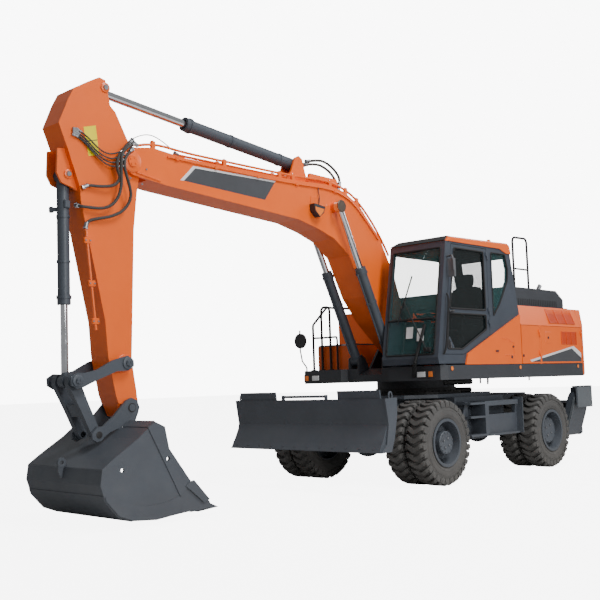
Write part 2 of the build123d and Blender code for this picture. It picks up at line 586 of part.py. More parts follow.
door_top = [(700, 2952), (20, 2952), (20, 2176), (846, 2176)]
door_low = [(880, 2112), (20, 2112), (20, 1926), (600, 1666), (930, 1666)]
door = plate(door_line, cab_y1 - 38, cab_y1)
for window in (door_top, door_low):
    door -= plate(window, cab_y1 - 50, cab_y1 + 10, pane_soft)
    door += plate(window, cab_y1 - 24, cab_y1 - 24 + pane, pane_soft)
for z0 in cab_hinge_heights:
    door += knuckle(*cab_hinge, z0 + knuckle_h + run_gap, 1, 1)
save("cab_door", door)

seat = box(-170, 330, cab_mid - 240, cab_mid + 240, 1810, 1930)
seat += plate([(-160, 1900), (-40, 1900), (-170, 2520), (-290, 2520)], cab_mid - 230, cab_mid + 230)
seat += plate([(-190, 2500), (-110, 2500), (-140, 2700), (-220, 2700)], cab_mid - 120, cab_mid + 120)
seat += box(-120, 280, cab_mid - 180, cab_mid + 180, 1526, 1820)
for side in (1, -1):
    seat += box(-100, 460, cab_mid + side * 250, cab_mid + side * 340, 1700, 2060)
    seat += box(-100, 280, cab_mid + side * 170, cab_mid + side * 300, 1560, 1760)
seat += box(760, 880, cab_mid - 60, cab_mid + 60, 1526, 1560)
seat += bar((820, cab_mid, 1550), (692, cab_mid, 2116), 45)
wheel_plane = Plane((690, cab_mid, 2120), z_dir=(-0.35, 0, 1))
seat += wheel_plane * Torus(190, 16)
seat += wheel_plane * Box(380, 40, 24)
seat += wheel_plane * Cylinder(60, 50)
save("cab_inside", seat)

# Rails, mirrors and lamps
rail_r = 17.0
rails = tube([(-1300, 885, lid_top), (-1300, 885, 3320), (-1700, 885, 3330), (-1700, 885, lid_top)], rail_r, 70)
rails += bar((-1300, 885, 2860), (-1700, 885, 2862), 14)
save("hood_rail", rails)
front_rail = tube([(795, -1190, deck_z1), (795, -1190, 2115), (490, -1190, 2382), (-280, -1190, 2390),
                   (-280, -1190, shoulder_z)], rail_r, 60)
front_rail += tube([(722, -1090, deck_z1), (722, -1090, 2365), (722, -930, 2365), (722, -930, deck_z1)], rail_r, 60)
front_rail += tube([(795, -1190, 1930), (722, -1090, 1930), (722, -810, 1930), (722, -800, 1880), (722, -800, deck_z1)],
                   14, 12)
save("front_rail", front_rail)

mirrors = tube([(860, cab_y1, 2830), (860, 1250, 2830), (890, 1300, 2830), (905, 1330, 2760), (905, 1330, 2640)], 12, 16)
mirrors += box(870, 905, 1250, 1338, 2560, 2790)
save("mirror_left", mirrors)
mirror_right = tube([(960, -1180, deck_z1), (960, -1180, 1510), (1010, -1215, 1600), (1010, -1250, 1760), (1010, -1250, 2040)], 11, 24)
mirror_right += Pos(1000, -1250, 1890) * Rot(0, 90, 0) * Cylinder(105, 34)
save("mirror_right", mirror_right)

lamp_table = [("head", deck_front_x, 985, 100, 60), ("head", deck_front_x, -985, 100, 60)]
lamps = []
for kind, x, y, wide, high in lamp_table:
    lamps.append(box(x, x + 18, y - wide / 2, y + wide / 2, 1362 - high / 2, 1362 + high / 2))
save("head_lamps", *lamps)

# Boom: a box beam with a bend, forks at both ends
foot_r = 120.0
tip_r = 140.0
boom_side = [(188, 1780), (180, 1700), (225, 1642), (300, 1616), (400, 1640), (940, 2080), (1220, 2390), (1500, 2915),
             (1770, 3105), (2070, 3205), (2420, 3285), (4440, 3428), (4860, 3478), (4985, 3530), (5020, 3616),
             (4985, 3705), (4900, 3760), (4620, 3806), (4170, 3762), (3530, 3764), (2378, 3762), (1900, 3790),
             (1560, 3740), (1270, 3600), (860, 3200), (600, 2760), (420, 2280)]
boom = plate(boom_side, boom_y - boom_half, boom_y + boom_half)
boom_in = [(520, 1830), (900, 2140), (1150, 2400), (1460, 2960), (1750, 3150), (2060, 3250), (2420, 3330),
           (4380, 3470), (4380, 3718), (3530, 3720), (2378, 3718), (1900, 3746), (1580, 3698), (1300, 3560),
           (900, 3170), (665, 2740), (500, 2260)]
boom -= plate(boom_in, boom_y - boom_half + 24, boom_y + boom_half - 24)
fork = [(4640, 3300), (4684, 3520), (4684, 3610), (4646, 3655), (4578, 3700), (4516, 3745), (4395, 3830),
        (4395, 3950), (5200, 3950), (5200, 3300)]
boom -= plate(fork, boom_y - arm_half - 6, boom_y + arm_half + 6)
boom -= pin(pin_a, 44 + run_gap, boom_y - boom_half - 5, boom_y + boom_half + 5)
boom += pin(pin_b, 42, boom_y - boom_half - 26, boom_y + boom_half + 26)
for side in (1, -1):
    boom += pin(pin_j, 62, boom_y + side * (boom_half - 4), boom_y + side * (boom_cyl_y - 42))
    ear = plate([(2120, 3740), (2190, 3900), (2240, 4075), (2300, 4110), (2370, 4075), (2440, 3900), (2560, 3740)],
                boom_y + side * 81, boom_y + side * 107)
    boom += ear
boom += pin(pin_c, 38, boom_y - 107, boom_y + 107)
hump = plate([(1540, 3700), (1650, 3892), (2150, 3905), (2200, 3760)], boom_y - 150, boom_y - 112)
hump += plate([(1540, 3700), (1650, 3892), (2150, 3905), (2200, 3760)], boom_y + 112, boom_y + 150)
boom += hump
save("boom", boom)

boom_bars = [(boom_y - 290, pin_k, pin_j), (boom_y + 290, pin_k, pin_j)]
barrels = [barrel(foot, eye, y, 64, 1300, 66, 68, 36 + run_gap) for y, foot, eye in boom_bars]
rods = [rod(foot, eye, y, 40, 64, 700, 70, 34, 30) for y, foot, eye in boom_bars]
save("boom_cylinder_barrels", *barrels)
save("boom_cylinder_rods", *rods)

# Arm: two side plates joined by a box, with its ears for both cylinders
arm_side = [(5166, 4420), (5238, 4436), (5370, 4362), (5535, 4258), (5600, 4134), (5706, 3880), (5600, 3620),
            (5476, 3280), (5466, 3147), (5199, 1974), (5170, 1626), (5085, 1240), (5035, 1107), (5002, 1029),
            (4924, 996), (4846, 1029), (4813, 1107), (4840, 1300), (4888, 1582), (4878, 1858), (4840, 2907),
            (4795, 3300), (4742, 3616), (4790, 3730), (4900, 3839), (5047, 4112), (5108, 4163)]
arm = plate(arm_side, boom_y - arm_half, boom_y + arm_half)
arm_in = [(5180, 3960), (5440, 4060), (5620, 3860), (5430, 3290), (5420, 3147), (5156, 1980), (5120, 1660),
          (4930, 1660), (4924, 1858), (4886, 2907), (4880, 3250), (5080, 3640), (5000, 3840)]
arm -= plate(arm_in, boom_y - arm_half + 22, boom_y + arm_half - 22)
arm -= pin(pin_e, 92, boom_y - 74, boom_y + 74)
# the slot for the arm cylinder's rod between the top ears
head_slot = [(4900, 4020), (5060, 3990), (5330, 4080), (5560, 4120), (5512, 4236), (5380, 4318), (5380, 4560),
             (4900, 4560)]
arm -= plate(head_slot, boom_y - 62, boom_y + 62)
for side in (1, -1):
    ear = plate([(5480, 3600), (5560, 3660), (5690, 3640), (5700, 3400), (5650, 3310), (5520, 3270), (5460, 3240)],
                boom_y + side * 74, boom_y + side * 100)
    arm += ear
    arm += pin(pin_g, 66, boom_y + side * (arm_half - 5), boom_y + side * (link_in - 6))
    arm -= plate([(5200, 1150), (4700, 1150), (4700, 900), (5200, 900)], boom_y + side * 128, boom_y + side * 160)
arm -= pin(pin_b, 42 + run_gap, boom_y - arm_half - 5, boom_y + arm_half + 5)
arm -= pin(pin_h, 36 + run_gap, boom_y - arm_half - 5, boom_y + arm_half + 5)
arm += pin(pin_g, 34, boom_y - link_out - 14, boom_y + link_out + 14)
arm += pin(pin_e, 32, boom_y - 100, boom_y + 100)
save("arm", arm)

arm_barrel = barrel(pin_c, pin_d, boom_y, 72, 1745, 74, 76, 38 + run_gap)
arm_rod = rod(pin_c, pin_d, boom_y, 44, 72, 1115, 72, 52, 26)
save("arm_cylinder_barrel", arm_barrel)
save("arm_cylinder_rod", arm_rod)
bucket_barrel = barrel(pin_e, pin_f, boom_y, 60, 1270, 62, 68, 32 + run_gap)
bucket_rod = rod(pin_e, pin_f, boom_y, 36, 60, 590, 60, 44, 24)
save("bucket_cylinder_barrel", bucket_barrel)
save("bucket_cylinder_rod", bucket_rod)

# Bucket linkage: a pair of curved guide links and the H-shaped link
guide_side = [(4985, 1625), (4915, 1575), (4912, 1520), (4985, 1475), (5120, 1470), (5340, 1390), (5500, 1322),
              (5565, 1310), (5630, 1345), (5636, 1420), (5565, 1462), (5480, 1458), (5340, 1490), (5160, 1580)]
links = []
for side in (1, -1):
    link = plate(guide_side, boom_y + side * link_in, boom_y + side * link_out)
    link -= pin(pin_g, 34 + run_gap, boom_y + side * 180, boom_y + side * 240)
    link += pin(pin_f, 30, boom_y + side * 46, boom_y + side * (link_out + 8))
    links.append(link)
save("guide_links", *links)

h_dir = (pin_i[0] - pin_f[0], pin_i[1] - pin_f[1])
h_len = span(pin_f, pin_i)
h_n = (h_dir[1] / h_len, -h_dir[0] / h_len)


def h_at(run, off):
    """A point of the H link, a share of its length from the upper pin and an offset across."""
    return (pin_f[0] + h_dir[0] * run + h_n[0] * off, pin_f[1] + h_dir[1] * run + h_n[1] * off)


h_outline = [h_at(-0.10, -30), h_at(-0.12, 0), h_at(-0.10, 30), h_at(0.0, 66), h_at(0.5, 52), h_at(0.97, 50),
             h_at(1.06, 26), h_at(1.075, 0), h_at(1.06, -26), h_at(0.97, -50), h_at(0.5, -52), h_at(0.0, -66)]
h_link = plate(h_outline, boom_y - 150, boom_y - 82)
h_link += plate(h_outline, boom_y + 82, boom_y + 150)
h_link += plate([h_at(0.40, -46), h_at(0.40, 46), h_at(0.62, 46), h_at(0.62, -46)], boom_y - 90, boom_y + 90)
h_link -= pin(pin_f, 30 + run_gap, boom_y - 155, boom_y + 155)
h_link -= pin(pin_i, 31, boom_y - 155, boom_y + 155)
save("h_link", h_link)

# Bucket: two side plates, a bent shell, ears, a lip and its teeth
shell_line = [(4300, 96), (4738, 70), (4990, 48), (5265, 72), (5420, 132), (5560, 280), (5612, 430), (5590, 575),
              (5470, 656), (5320, 748), (5190, 826), (5060, 925)]


def inward(points, depth):
    """The same line, moved to its left side by depth."""
    moved = []
    for i, (x, z) in enumerate(points):
        x0, z0 = points[max(i - 1, 0)]
        x1, z1 = points[min(i + 1, len(points) - 1)]
        size = math.hypot(x1 - x0, z1 - z0)
        moved.append((x - (z1 - z0) * depth / size, z + (x1 - x0) * depth / size))
    return moved


shell_in = inward(shell_line, 26)
bucket = plate(shell_line + shell_in[::-1], boom_y - bucket_half + 20, boom_y + bucket_half - 20)
side_line = shell_line + [(4990, 975), (4873, 922), (4825, 709), (4556, 362), (4330, 150)]
for side in (1, -1):
    cheek = plate(side_line, boom_y + side * (bucket_half - 24), boom_y + side * bucket_half)
    cheek -= pin((5371, 547), 20, boom_y + side * (bucket_half - 40), boom_y + side * (bucket_half + 10))
    cheek -= pin((4845, 612), 20, boom_y + side * (bucket_half - 40), boom_y + side * (bucket_half + 10))
    bucket += cheek
    ear = plate([(4830, 1107), (4858, 1176), (4924, 1204), (4990, 1180), (5130, 1040), (5260, 940), (5330, 938),
                 (5388, 880), (5384, 820), (5330, 790), (5180, 880), (4990, 940), (4850, 1040)],
                boom_y + side * ear_in, boom_y + side * ear_out)
    ear -= pin(pin_i, 30, boom_y + side * (ear_in - 5), boom_y + side * (ear_out + 5))
    bucket += ear
bucket += pin(pin_h, 36, boom_y - ear_out - 12, boom_y + ear_out + 12)
bucket += plate([(4300, 92), (4560, 70), (4560, 110), (4300, 122)], boom_y - bucket_half, boom_y + bucket_half)
tooth_n = 5
for k in range(tooth_n):
    y = boom_y + (k - (tooth_n - 1) / 2) * (2 * bucket_half - 150) / (tooth_n - 1)
    bucket += plate([(4190, 78), (4460, 58), (4470, 128), (4330, 140)], y - 48, y + 48)
save("bucket", bucket)
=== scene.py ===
import math
from collections import defaultdict

import bmesh
import bpy
from mathutils import Matrix, Vector


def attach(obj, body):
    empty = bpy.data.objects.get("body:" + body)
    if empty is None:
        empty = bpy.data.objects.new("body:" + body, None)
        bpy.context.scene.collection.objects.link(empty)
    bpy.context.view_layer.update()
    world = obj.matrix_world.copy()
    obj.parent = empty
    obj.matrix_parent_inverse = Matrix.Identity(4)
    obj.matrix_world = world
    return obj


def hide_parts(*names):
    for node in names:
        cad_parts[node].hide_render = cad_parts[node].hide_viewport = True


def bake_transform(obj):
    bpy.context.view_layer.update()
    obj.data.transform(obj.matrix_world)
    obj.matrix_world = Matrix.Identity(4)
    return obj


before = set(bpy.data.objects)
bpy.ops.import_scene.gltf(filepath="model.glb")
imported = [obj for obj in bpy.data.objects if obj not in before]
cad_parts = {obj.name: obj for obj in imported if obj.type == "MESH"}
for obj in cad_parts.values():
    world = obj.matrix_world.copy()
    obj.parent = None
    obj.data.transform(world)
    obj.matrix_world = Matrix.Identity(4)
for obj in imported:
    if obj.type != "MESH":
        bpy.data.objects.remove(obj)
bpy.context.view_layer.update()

# places are in metres from the slew axis, which lies slewX from the frame's origin
slewX = -1.388
boomY = -0.050
sideTable = (("left", 1), ("right", -1))


def at(x, y, z):
    return Vector((x + slewX, y, z))


def flat(outline, y):
    # an (x, z) outline at one distance across the machine
    return [at(x, y, z) for x, z in outline]


def run(points):
    # the (x, y, z) points of a hose, a pipe or a rail
    return [at(*p) for p in points]


def around(count, turn=0.0):
    # equal steps of angle round a full circle
    return [math.tau * k / count + turn for k in range(count)]


# helpers that add a shape to a bmesh
def addBlock(bm, low, high, bevel=0.0, segments=1):
    low, high = Vector(low), Vector(high)
    made = bmesh.ops.create_cube(bm, size=1.0)["verts"]
    bmesh.ops.scale(bm, vec=high - low, verts=made)
    bmesh.ops.translate(bm, vec=(low + high) / 2, verts=made)
    if bevel:
        edges = list({e for v in made for e in v.link_edges})
        bmesh.ops.bevel(bm, geom=edges, offset=bevel, offset_type="OFFSET", segments=segments,
                        profile=0.5, affect="EDGES", material=-1)


def addSideBlock(bm, side, low, high, bevel=0.0, segments=1):
    # a block given for the left side (1), put there or on the right (-1)
    y0, y1 = sorted((side * low[1], side * high[1]))
    addBlock(bm, at(low[0], y0, low[2]), at(high[0], y1, high[2]), bevel, segments)


def addLocalBlock(bm, origin, low, high, bevel, segments):
    addBlock(bm, origin + Vector(low), origin + Vector(high), bevel, segments)


def addBar(bm, start, end, radius, sides=16, endRadius=None):
    start, end = Vector(start), Vector(end)
    way = end - start
    turn = way.to_track_quat("Z", "Y").to_matrix().to_4x4()
    place = Matrix.Translation((start + end) / 2) @ turn
    top = radius if endRadius is None else endRadius
    bmesh.ops.create_cone(bm, cap_ends=True, segments=sides, radius1=radius, radius2=top, depth=way.length,
                          matrix=place)


def addPlate(bm, outline, offset):
    # a flat outline of points, pushed along offset
    face = bm.faces.new([bm.verts.new(p) for p in outline])
    pushFaces(bm, [face], offset)


def pushFaces(bm, faces, offset):
    grown = bmesh.ops.extrude_face_region(bm, geom=faces)["geom"]
    moved = [g for g in grown if isinstance(g, bmesh.types.BMVert)]
    bmesh.ops.translate(bm, vec=Vector(offset), verts=moved)


def addRing(bm, centre, axis, profile, steps):
    # profile holds (radius, height along the axis) and is spun once round
    turn = Vector(axis).normalized().to_track_quat("Z", "Y").to_matrix().to_4x4()
    place = Matrix.Translation(Vector(centre)) @ turn
    points = [bm.verts.new(place @ Vector((r, 0, h))) for r, h in profile]
    edges = [bm.edges.new((points[i], points[i + 1])) for i in range(len(points) - 1)]
    if len(profile) > 2:
        edges.append(bm.edges.new((points[-1], points[0])))
    bmesh.ops.spin(bm, geom=points + edges, cent=Vector(centre), axis=Vector(axis).normalized(),
                   angle=math.tau, steps=steps, use_merge=True, use_duplicate=False)


def addBand(bm, centre, axis, inner, outer, width, steps=32):
    addRing(bm, centre, axis, [(inner, 0.0), (outer, 0.0), (outer, width), (inner, width)], steps)


def addDisc(bm, centre, axis, radius, wall, height, inset, steps):
    # a disc whose rim slopes in by inset above its wall
    profile = [(0.0, 0.0), (radius, 0.0), (radius, wall), (radius - inset, height), (0.0, height)]
    addRing(bm, centre, axis, profile, steps)


def addHex(bm, centre, axis, radius, height):
    start = Vector(centre)
    addBar(bm, start, start + Vector(axis).normalized() * height, radius, 6)


def addTube(bm, points, radius, sides, smooth=4):
    # a hose or a pipe: a NURBS curve through loose control points, made a mesh
    curve = bpy.data.curves.new("run", "CURVE")
    curve.dimensions = "3D"
    curve.bevel_depth = radius
    curve.bevel_resolution = max(1, sides // 4)
    curve.resolution_u = smooth
    curve.use_fill_caps = True
    line = curve.splines.new("NURBS")
    line.points.add(len(points) - 1)
    for spot, p in zip(line.points, points):
        spot.co = (*p, 1)
    line.order_u = 3
    line.use_endpoint_u = True
    holder = bpy.data.objects.new("run", curve)
    mesh = bpy.data.meshes.new_from_object(holder)
    bm.from_mesh(mesh)
    bpy.data.objects.remove(holder)
    bpy.data.curves.remove(curve)
    bpy.data.meshes.remove(mesh)


def makePiece(name, bm, material, body, smooth=True, angle=35):
    bmesh.ops.remove_doubles(bm, verts=bm.verts, dist=0.00005)
    bmesh.ops.recalc_face_normals(bm, faces=bm.faces)
    mesh = bpy.data.meshes.new(name)
    bm.to_mesh(mesh)
    bm.free()
    piece = bpy.data.objects.new(name, mesh)
    bpy.context.scene.collection.objects.link(piece)
    mesh.materials.append(material)
    if smooth:
        mesh.shade_smooth()
        mesh.set_sharp_from_angle(angle=math.radians(angle))
    if body:
        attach(piece, body)
    return piece


def makeGroups(groups, prefix, material):
    # one piece for each body and slot that a table names
    for (body, slotName), bm in groups.items():
        makePiece(f"{prefix}_{body}", bm, material, body)


# camera
cameraSpec = {"place": (10.3827, 7.6979, 1.3022), "yaw": 223.266, "pitch": 5.168, "roll": -1.802,
              "lens": 54.70, "shiftX": -0.0086, "shiftY": 0.0}


def makeCamera(spec):
    yaw, pitch, roll = (math.radians(spec[k]) for k in ("yaw", "pitch", "roll"))
    ahead = Vector((math.cos(pitch) * math.cos(yaw), math.cos(pitch) * math.sin(yaw), math.sin(pitch)))
    right = ahead.cross(Vector((0, 0, 1))).normalized()
    up = right.cross(ahead)
    tiltRight = right * math.cos(roll) + up * math.sin(roll)
    tiltUp = up * math.cos(roll) - right * math.sin(roll)
    data = bpy.data.cameras.new("camera")
    camera = bpy.data.objects.new("camera", data)
    bpy.context.scene.collection.objects.link(camera)
    turn = Matrix((tiltRight, tiltUp, -ahead)).transposed().to_4x4()
    camera.matrix_world = Matrix.Translation(at(*spec["place"])) @ turn
    data.sensor_width = 36.0
    data.lens = spec["lens"]
    data.shift_x = spec["shiftX"]
    data.shift_y = spec["shiftY"]
    data.clip_end = 500.0
    bpy.context.scene.camera = camera


makeCamera(cameraSpec)
print("camera made")

# light and floor
lightSpec = {"worldColor": (1.0, 1.0, 1.0), "worldPower": 0.32, "seenPower": 9.0, "floorSize": 160.0,
             "floorColor": (0.62, 0.62, 0.62), "floorGlow": 6.5}
lampTable = [
    # name, place, aim, size, watts
    ("keyLamp", (2.0, 8.0, 13.0), (0.0, 0.0, 1.6), 5.0, 1500.0),
    ("sideLamp", (5.0, 13.0, 5.0), (-0.2, 0.0, 1.6), 4.0, 700.0),
    ("rearLamp", (-11.0, 3.0, 9.0), (-1.0, 0.0, 1.4), 6.0, 500.0),
]


def makeLamp(name, place, aim, size, watts):
    data = bpy.data.lights.new(name, "AREA")
    data.shape = "DISK"
    data.size = size
    data.energy = watts
    lamp = bpy.data.objects.new(name, data)
    bpy.context.scene.collection.objects.link(lamp)
    lamp.location = at(*place)
    way = at(*aim) - at(*place)
    lamp.rotation_euler = way.to_track_quat("-Z", "Y").to_euler()


def makeWorld(spec):
    world = bpy.data.worlds.new("studio")
    world.use_nodes = True
    sky = world.node_tree.nodes["Background"]
    sky.inputs["Color"].default_value = (*spec["worldColor"], 1.0)
    sky.inputs["Strength"].default_value = spec["worldPower"]
    # the eye meets a whiter backdrop than the one that lights the machine
    nodes, links = world.node_tree.nodes, world.node_tree.links
    seen = nodes.new("ShaderNodeBackground")
    seen.inputs["Color"].default_value = (*spec["worldColor"], 1.0)
    seen.inputs["Strength"].default_value = spec["seenPower"]
    path = nodes.new("ShaderNodeLightPath")
    mix = nodes.new("ShaderNodeMixShader")
    links.new(path.outputs["Is Camera Ray"], mix.inputs[0])
    links.new(sky.outputs["Background"], mix.inputs[1])
    links.new(seen.outputs["Background"], mix.inputs[2])
    links.new(mix.outputs["Shader"], nodes["World Output"].inputs["Surface"])
    bpy.context.scene.world = world


# materials
def startMaterial(name):
    material = bpy.data.materials.new(name)
    material.use_nodes = True
    nodes = material.node_tree.nodes
    shader = nodes["Principled BSDF"]
    place = nodes.new("ShaderNodeTexCoord")
    return material, nodes, material.node_tree.links, shader, place.outputs["Object"]


def addNoise(nodes, links, source, scale, detail=4.0, roughness=0.55):
    noiseNode = nodes.new("ShaderNodeTexNoise")
    noiseNode.inputs["Scale"].default_value = scale
    noiseNode.inputs["Detail"].default_value = detail
    noiseNode.inputs["Roughness"].default_value = roughness
    links.new(source, noiseNode.inputs["Vector"])
    return noiseNode.outputs["Fac"]


def addRamp(nodes, links, source, stops):
    ramp = nodes.new("ShaderNodeValToRGB")
    elements = ramp.color_ramp.elements
    while len(elements) < len(stops):
        elements.new(0.5)
    for element, (place, color) in zip(elements, stops):
        element.position = place
        element.color = (*color, 1.0)
    links.new(source, ramp.inputs["Fac"])
    return ramp.outputs["Color"]


def addRange(nodes, links, source, low, high):
    node = nodes.new("ShaderNodeMapRange")
    node.inputs["To Min"].default_value = low
    node.inputs["To Max"].default_value = high
    links.new(source, node.inputs["Value"])
    return node.outputs["Result"]


def addBump(nodes, links, shader, height, strength, distance):
    bump = nodes.new("ShaderNodeBump")
    bump.inputs["Strength"].default_value = strength
    bump.inputs["Distance"].default_value = distance
    links.new(height, bump.inputs["Height"])
    links.new(bump.outputs["Normal"], shader.inputs["Normal"])


def addTone(nodes, links, source, color, share=0.8, low=0.3, high=0.7):
    # the colour, darkened here and there to a share of itself
    return addRamp(nodes, links, source, [(low, tuple(c * share for c in color)), (high, color)])


def addDustyTone(nodes, links, source, tone, color, high, amount):
    # road dust that thins out with height above the floor
    split = nodes.new("ShaderNodeSeparateXYZ")
    links.new(source, split.inputs["Vector"])
    fall = nodes.new("ShaderNodeMapRange")
    fall.inputs["From Max"].default_value = high
    fall.inputs["To Min"].default_value = amount
    fall.inputs["To Max"].default_value = 0.0
    links.new(split.outputs["Z"], fall.inputs["Value"])
    cloud = addNoise(nodes, links, source, 6.0, 6.0)
    share = nodes.new("ShaderNodeMath")
    share.operation = "MULTIPLY"
    links.new(fall.outputs["Result"], share.inputs[0])
    links.new(cloud, share.inputs[1])
    mix = nodes.new("ShaderNodeMix")
    mix.data_type = "RGBA"
    mix.inputs["B"].default_value = (*color, 1.0)
    links.new(share.outputs["Value"], mix.inputs["Factor"])
    links.new(tone, mix.inputs["A"])
    return mix.outputs["Result"]


paintTable = {
    # name: colour, darker shade, roughness low and high, coat, orange peel
    "orangePaint": ((0.90, 0.135, 0.004), (0.84, 0.120, 0.003), 0.34, 0.44, 0.10, 0.04),
    "deepOrangePaint": ((0.70, 0.075, 0.003), (0.60, 0.060, 0.002), 0.40, 0.50, 0.05, 0.04),
    "slatePaint": ((0.062, 0.074, 0.092), (0.050, 0.060, 0.076), 0.46, 0.58, 0.06, 0.06),
    "darkPaint": ((0.040, 0.044, 0.052), (0.032, 0.036, 0.043), 0.44, 0.56, 0.06, 0.06),
    "cabPaint": ((0.046, 0.057, 0.076), (0.038, 0.048, 0.065), 0.40, 0.52, 0.10, 0.05),
    "palePaint": ((0.120, 0.135, 0.150), (0.100, 0.114, 0.128), 0.44, 0.56, 0.06, 0.05),
    "blackPaint": ((0.010, 0.010, 0.011), (0.007, 0.007, 0.008), 0.42, 0.56, 0.06, 0.05),
}


def makePaint(name):
    color, shade, roughLow, roughHigh, coat, peel = paintTable[name]
    material, nodes, links, shader, place = startMaterial(name)
    cloud = addNoise(nodes, links, place, 2.2, 5.0)
    tone = addRamp(nodes, links, cloud, [(0.30, shade), (0.70, color)])
    dusty = addDustyTone(nodes, links, place, tone, (0.20, 0.18, 0.16), 1.4, 0.22)
    links.new(dusty, shader.inputs["Base Color"])
    fine = addNoise(nodes, links, place, 9.0, 6.0)
    links.new(addRange(nodes, links, fine, roughLow, roughHigh), shader.inputs["Roughness"])
    shader.inputs["Coat Weight"].default_value = coat
    shader.inputs["Coat Roughness"].default_value = 0.16
    skin = addNoise(nodes, links, place, 160.0, 2.0)
    addBump(nodes, links, shader, skin, peel, 0.002)
    return material


def makeMetal(name, color, rough, brushed=0.0):
    material, nodes, links, shader, place = startMaterial(name)
    shader.inputs["Metallic"].default_value = 1.0
    cloud = addNoise(nodes, links, place, 14.0, 5.0)
    links.new(addTone(nodes, links, cloud, color), shader.inputs["Base Color"])
    fine = addNoise(nodes, links, place, 60.0, 4.0)
    links.new(addRange(nodes, links, fine, rough * 0.7, rough * 1.4), shader.inputs["Roughness"])
    addBump(nodes, links, shader, fine, 0.05 + brushed, 0.0005)
    return material


def makeRubber(name, color, dusty, scale=40.0):
    material, nodes, links, shader, place = startMaterial(name)
    cloud = addNoise(nodes, links, place, 5.0, 8.0, 0.65)
    tone = addTone(nodes, links, cloud, color, 0.62, 0.28, 0.72)
    dusted = addDustyTone(nodes, links, place, tone, (0.17, 0.155, 0.135), 1.3, dusty)
    links.new(dusted, shader.inputs["Base Color"])
    fine = addNoise(nodes, links, place, scale, 6.0)
    links.new(addRange(nodes, links, fine, 0.62, 0.86), shader.inputs["Roughness"])
    addBump(nodes, links, shader, fine, 0.25, 0.0015)
    return material


def makePlastic(name, color, rough, grain=220.0, bump=0.12):
    material, nodes, links, shader, place = startMaterial(name)
    cloud = addNoise(nodes, links, place, 4.0, 4.0)
    links.new(addTone(nodes, links, cloud, color, 0.85), shader.inputs["Base Color"])
    fine = addNoise(nodes, links, place, grain, 3.0)
    links.new(addRange(nodes, links, fine, rough * 0.85, rough * 1.15), shader.inputs["Roughness"])
    addBump(nodes, links, shader, fine, bump, 0.0012)
    return material


def makeGlass(name, color, alpha):
    material, nodes, links, shader, place = startMaterial(name)
    cloud = addNoise(nodes, links, place, 3.0, 3.0)
    links.new(addTone(nodes, links, cloud, color, 0.9), shader.inputs["Base Color"])
    fine = addNoise(nodes, links, place, 30.0, 3.0)
    links.new(addRange(nodes, links, fine, 0.02, 0.07), shader.inputs["Roughness"])
    shader.inputs["IOR"].default_value = 1.5
    shader.inputs["Alpha"].default_value = alpha
    return material


def addSecondFinish(material, place, mask, color, grain, rough):
    # where the mask is 1, the paint gives way to a smooth finish of another colour
    nodes, links = material.node_tree.nodes, material.node_tree.links
    shader = nodes["Principled BSDF"]
    cloud = addNoise(nodes, links, place, *grain)
    sources = {"Base Color": addTone(nodes, links, cloud, color),
               "Roughness": addRange(nodes, links, cloud, *rough)}
    for socket, source in sources.items():
        mix = nodes.new("ShaderNodeMix")
        mix.data_type = "RGBA" if socket == "Base Color" else "FLOAT"
        links.new(mask, mix.inputs["Factor"])
        links.new(shader.inputs[socket].links[0].from_socket, mix.inputs["A"])
        links.new(source, mix.inputs["B"])
        links.new(mix.outputs["Result"], shader.inputs[socket])
    skin = nodes["Bump"].inputs["Strength"]
    links.new(addRange(nodes, links, mask, skin.default_value, 0.0), skin)


def makeGlazedPaint(name, paintName, paneY, paneHalf, color, alpha):
    # paint whose flat pane, told by its place across the machine, is glass
    material = makePaint(paintName)
    material.name = name
    nodes, links = material.node_tree.nodes, material.node_tree.links
    place = nodes.new("ShaderNodeTexCoord").outputs["Object"]
    split = nodes.new("ShaderNodeSeparateXYZ")
    links.new(place, split.inputs["Vector"])
    pane = nodes.new("ShaderNodeMath")
    pane.operation = "COMPARE"
    pane.inputs[1].default_value = paneY
    pane.inputs[2].default_value = paneHalf
    links.new(split.outputs["Y"], pane.inputs[0])
    mask = pane.outputs["Value"]
    addSecondFinish(material, place, mask, color, (3.0, 3.0), (0.02, 0.07))
    links.new(addRange(nodes, links, mask, 1.0, alpha), nodes["Principled BSDF"].inputs["Alpha"])
    return material


def makeRodFinish(name, paintName, eye, eyeRadius, color):
    # a polished rod whose end, told by its distance from the eye's pin, is painted
    material = makePaint(paintName)
    material.name = name
    nodes, links = material.node_tree.nodes, material.node_tree.links
    place = nodes.new("ShaderNodeTexCoord").outputs["Object"]
    toEye = nodes.new("ShaderNodeMapping")
    toEye.inputs["Location"].default_value = (-eye.x, 0.0, -eye.z)
    toEye.inputs["Scale"].default_value = (1.0, 0.0, 1.0)
    links.new(place, toEye.inputs["Vector"])
    distance = nodes.new("ShaderNodeVectorMath")
    distance.operation = "LENGTH"
    links.new(toEye.outputs["Vector"], distance.inputs[0])
    bare = nodes.new("ShaderNodeMath")
    bare.operation = "GREATER_THAN"
    bare.inputs[1].default_value = eyeRadius
    links.new(distance.outputs["Value"], bare.inputs[0])
    addSecondFinish(material, place, bare.outputs["Value"], color, (14.0, 5.0), (0.06, 0.13))
    links.new(bare.outputs["Value"], nodes["Principled BSDF"].inputs["Metallic"])
    return material


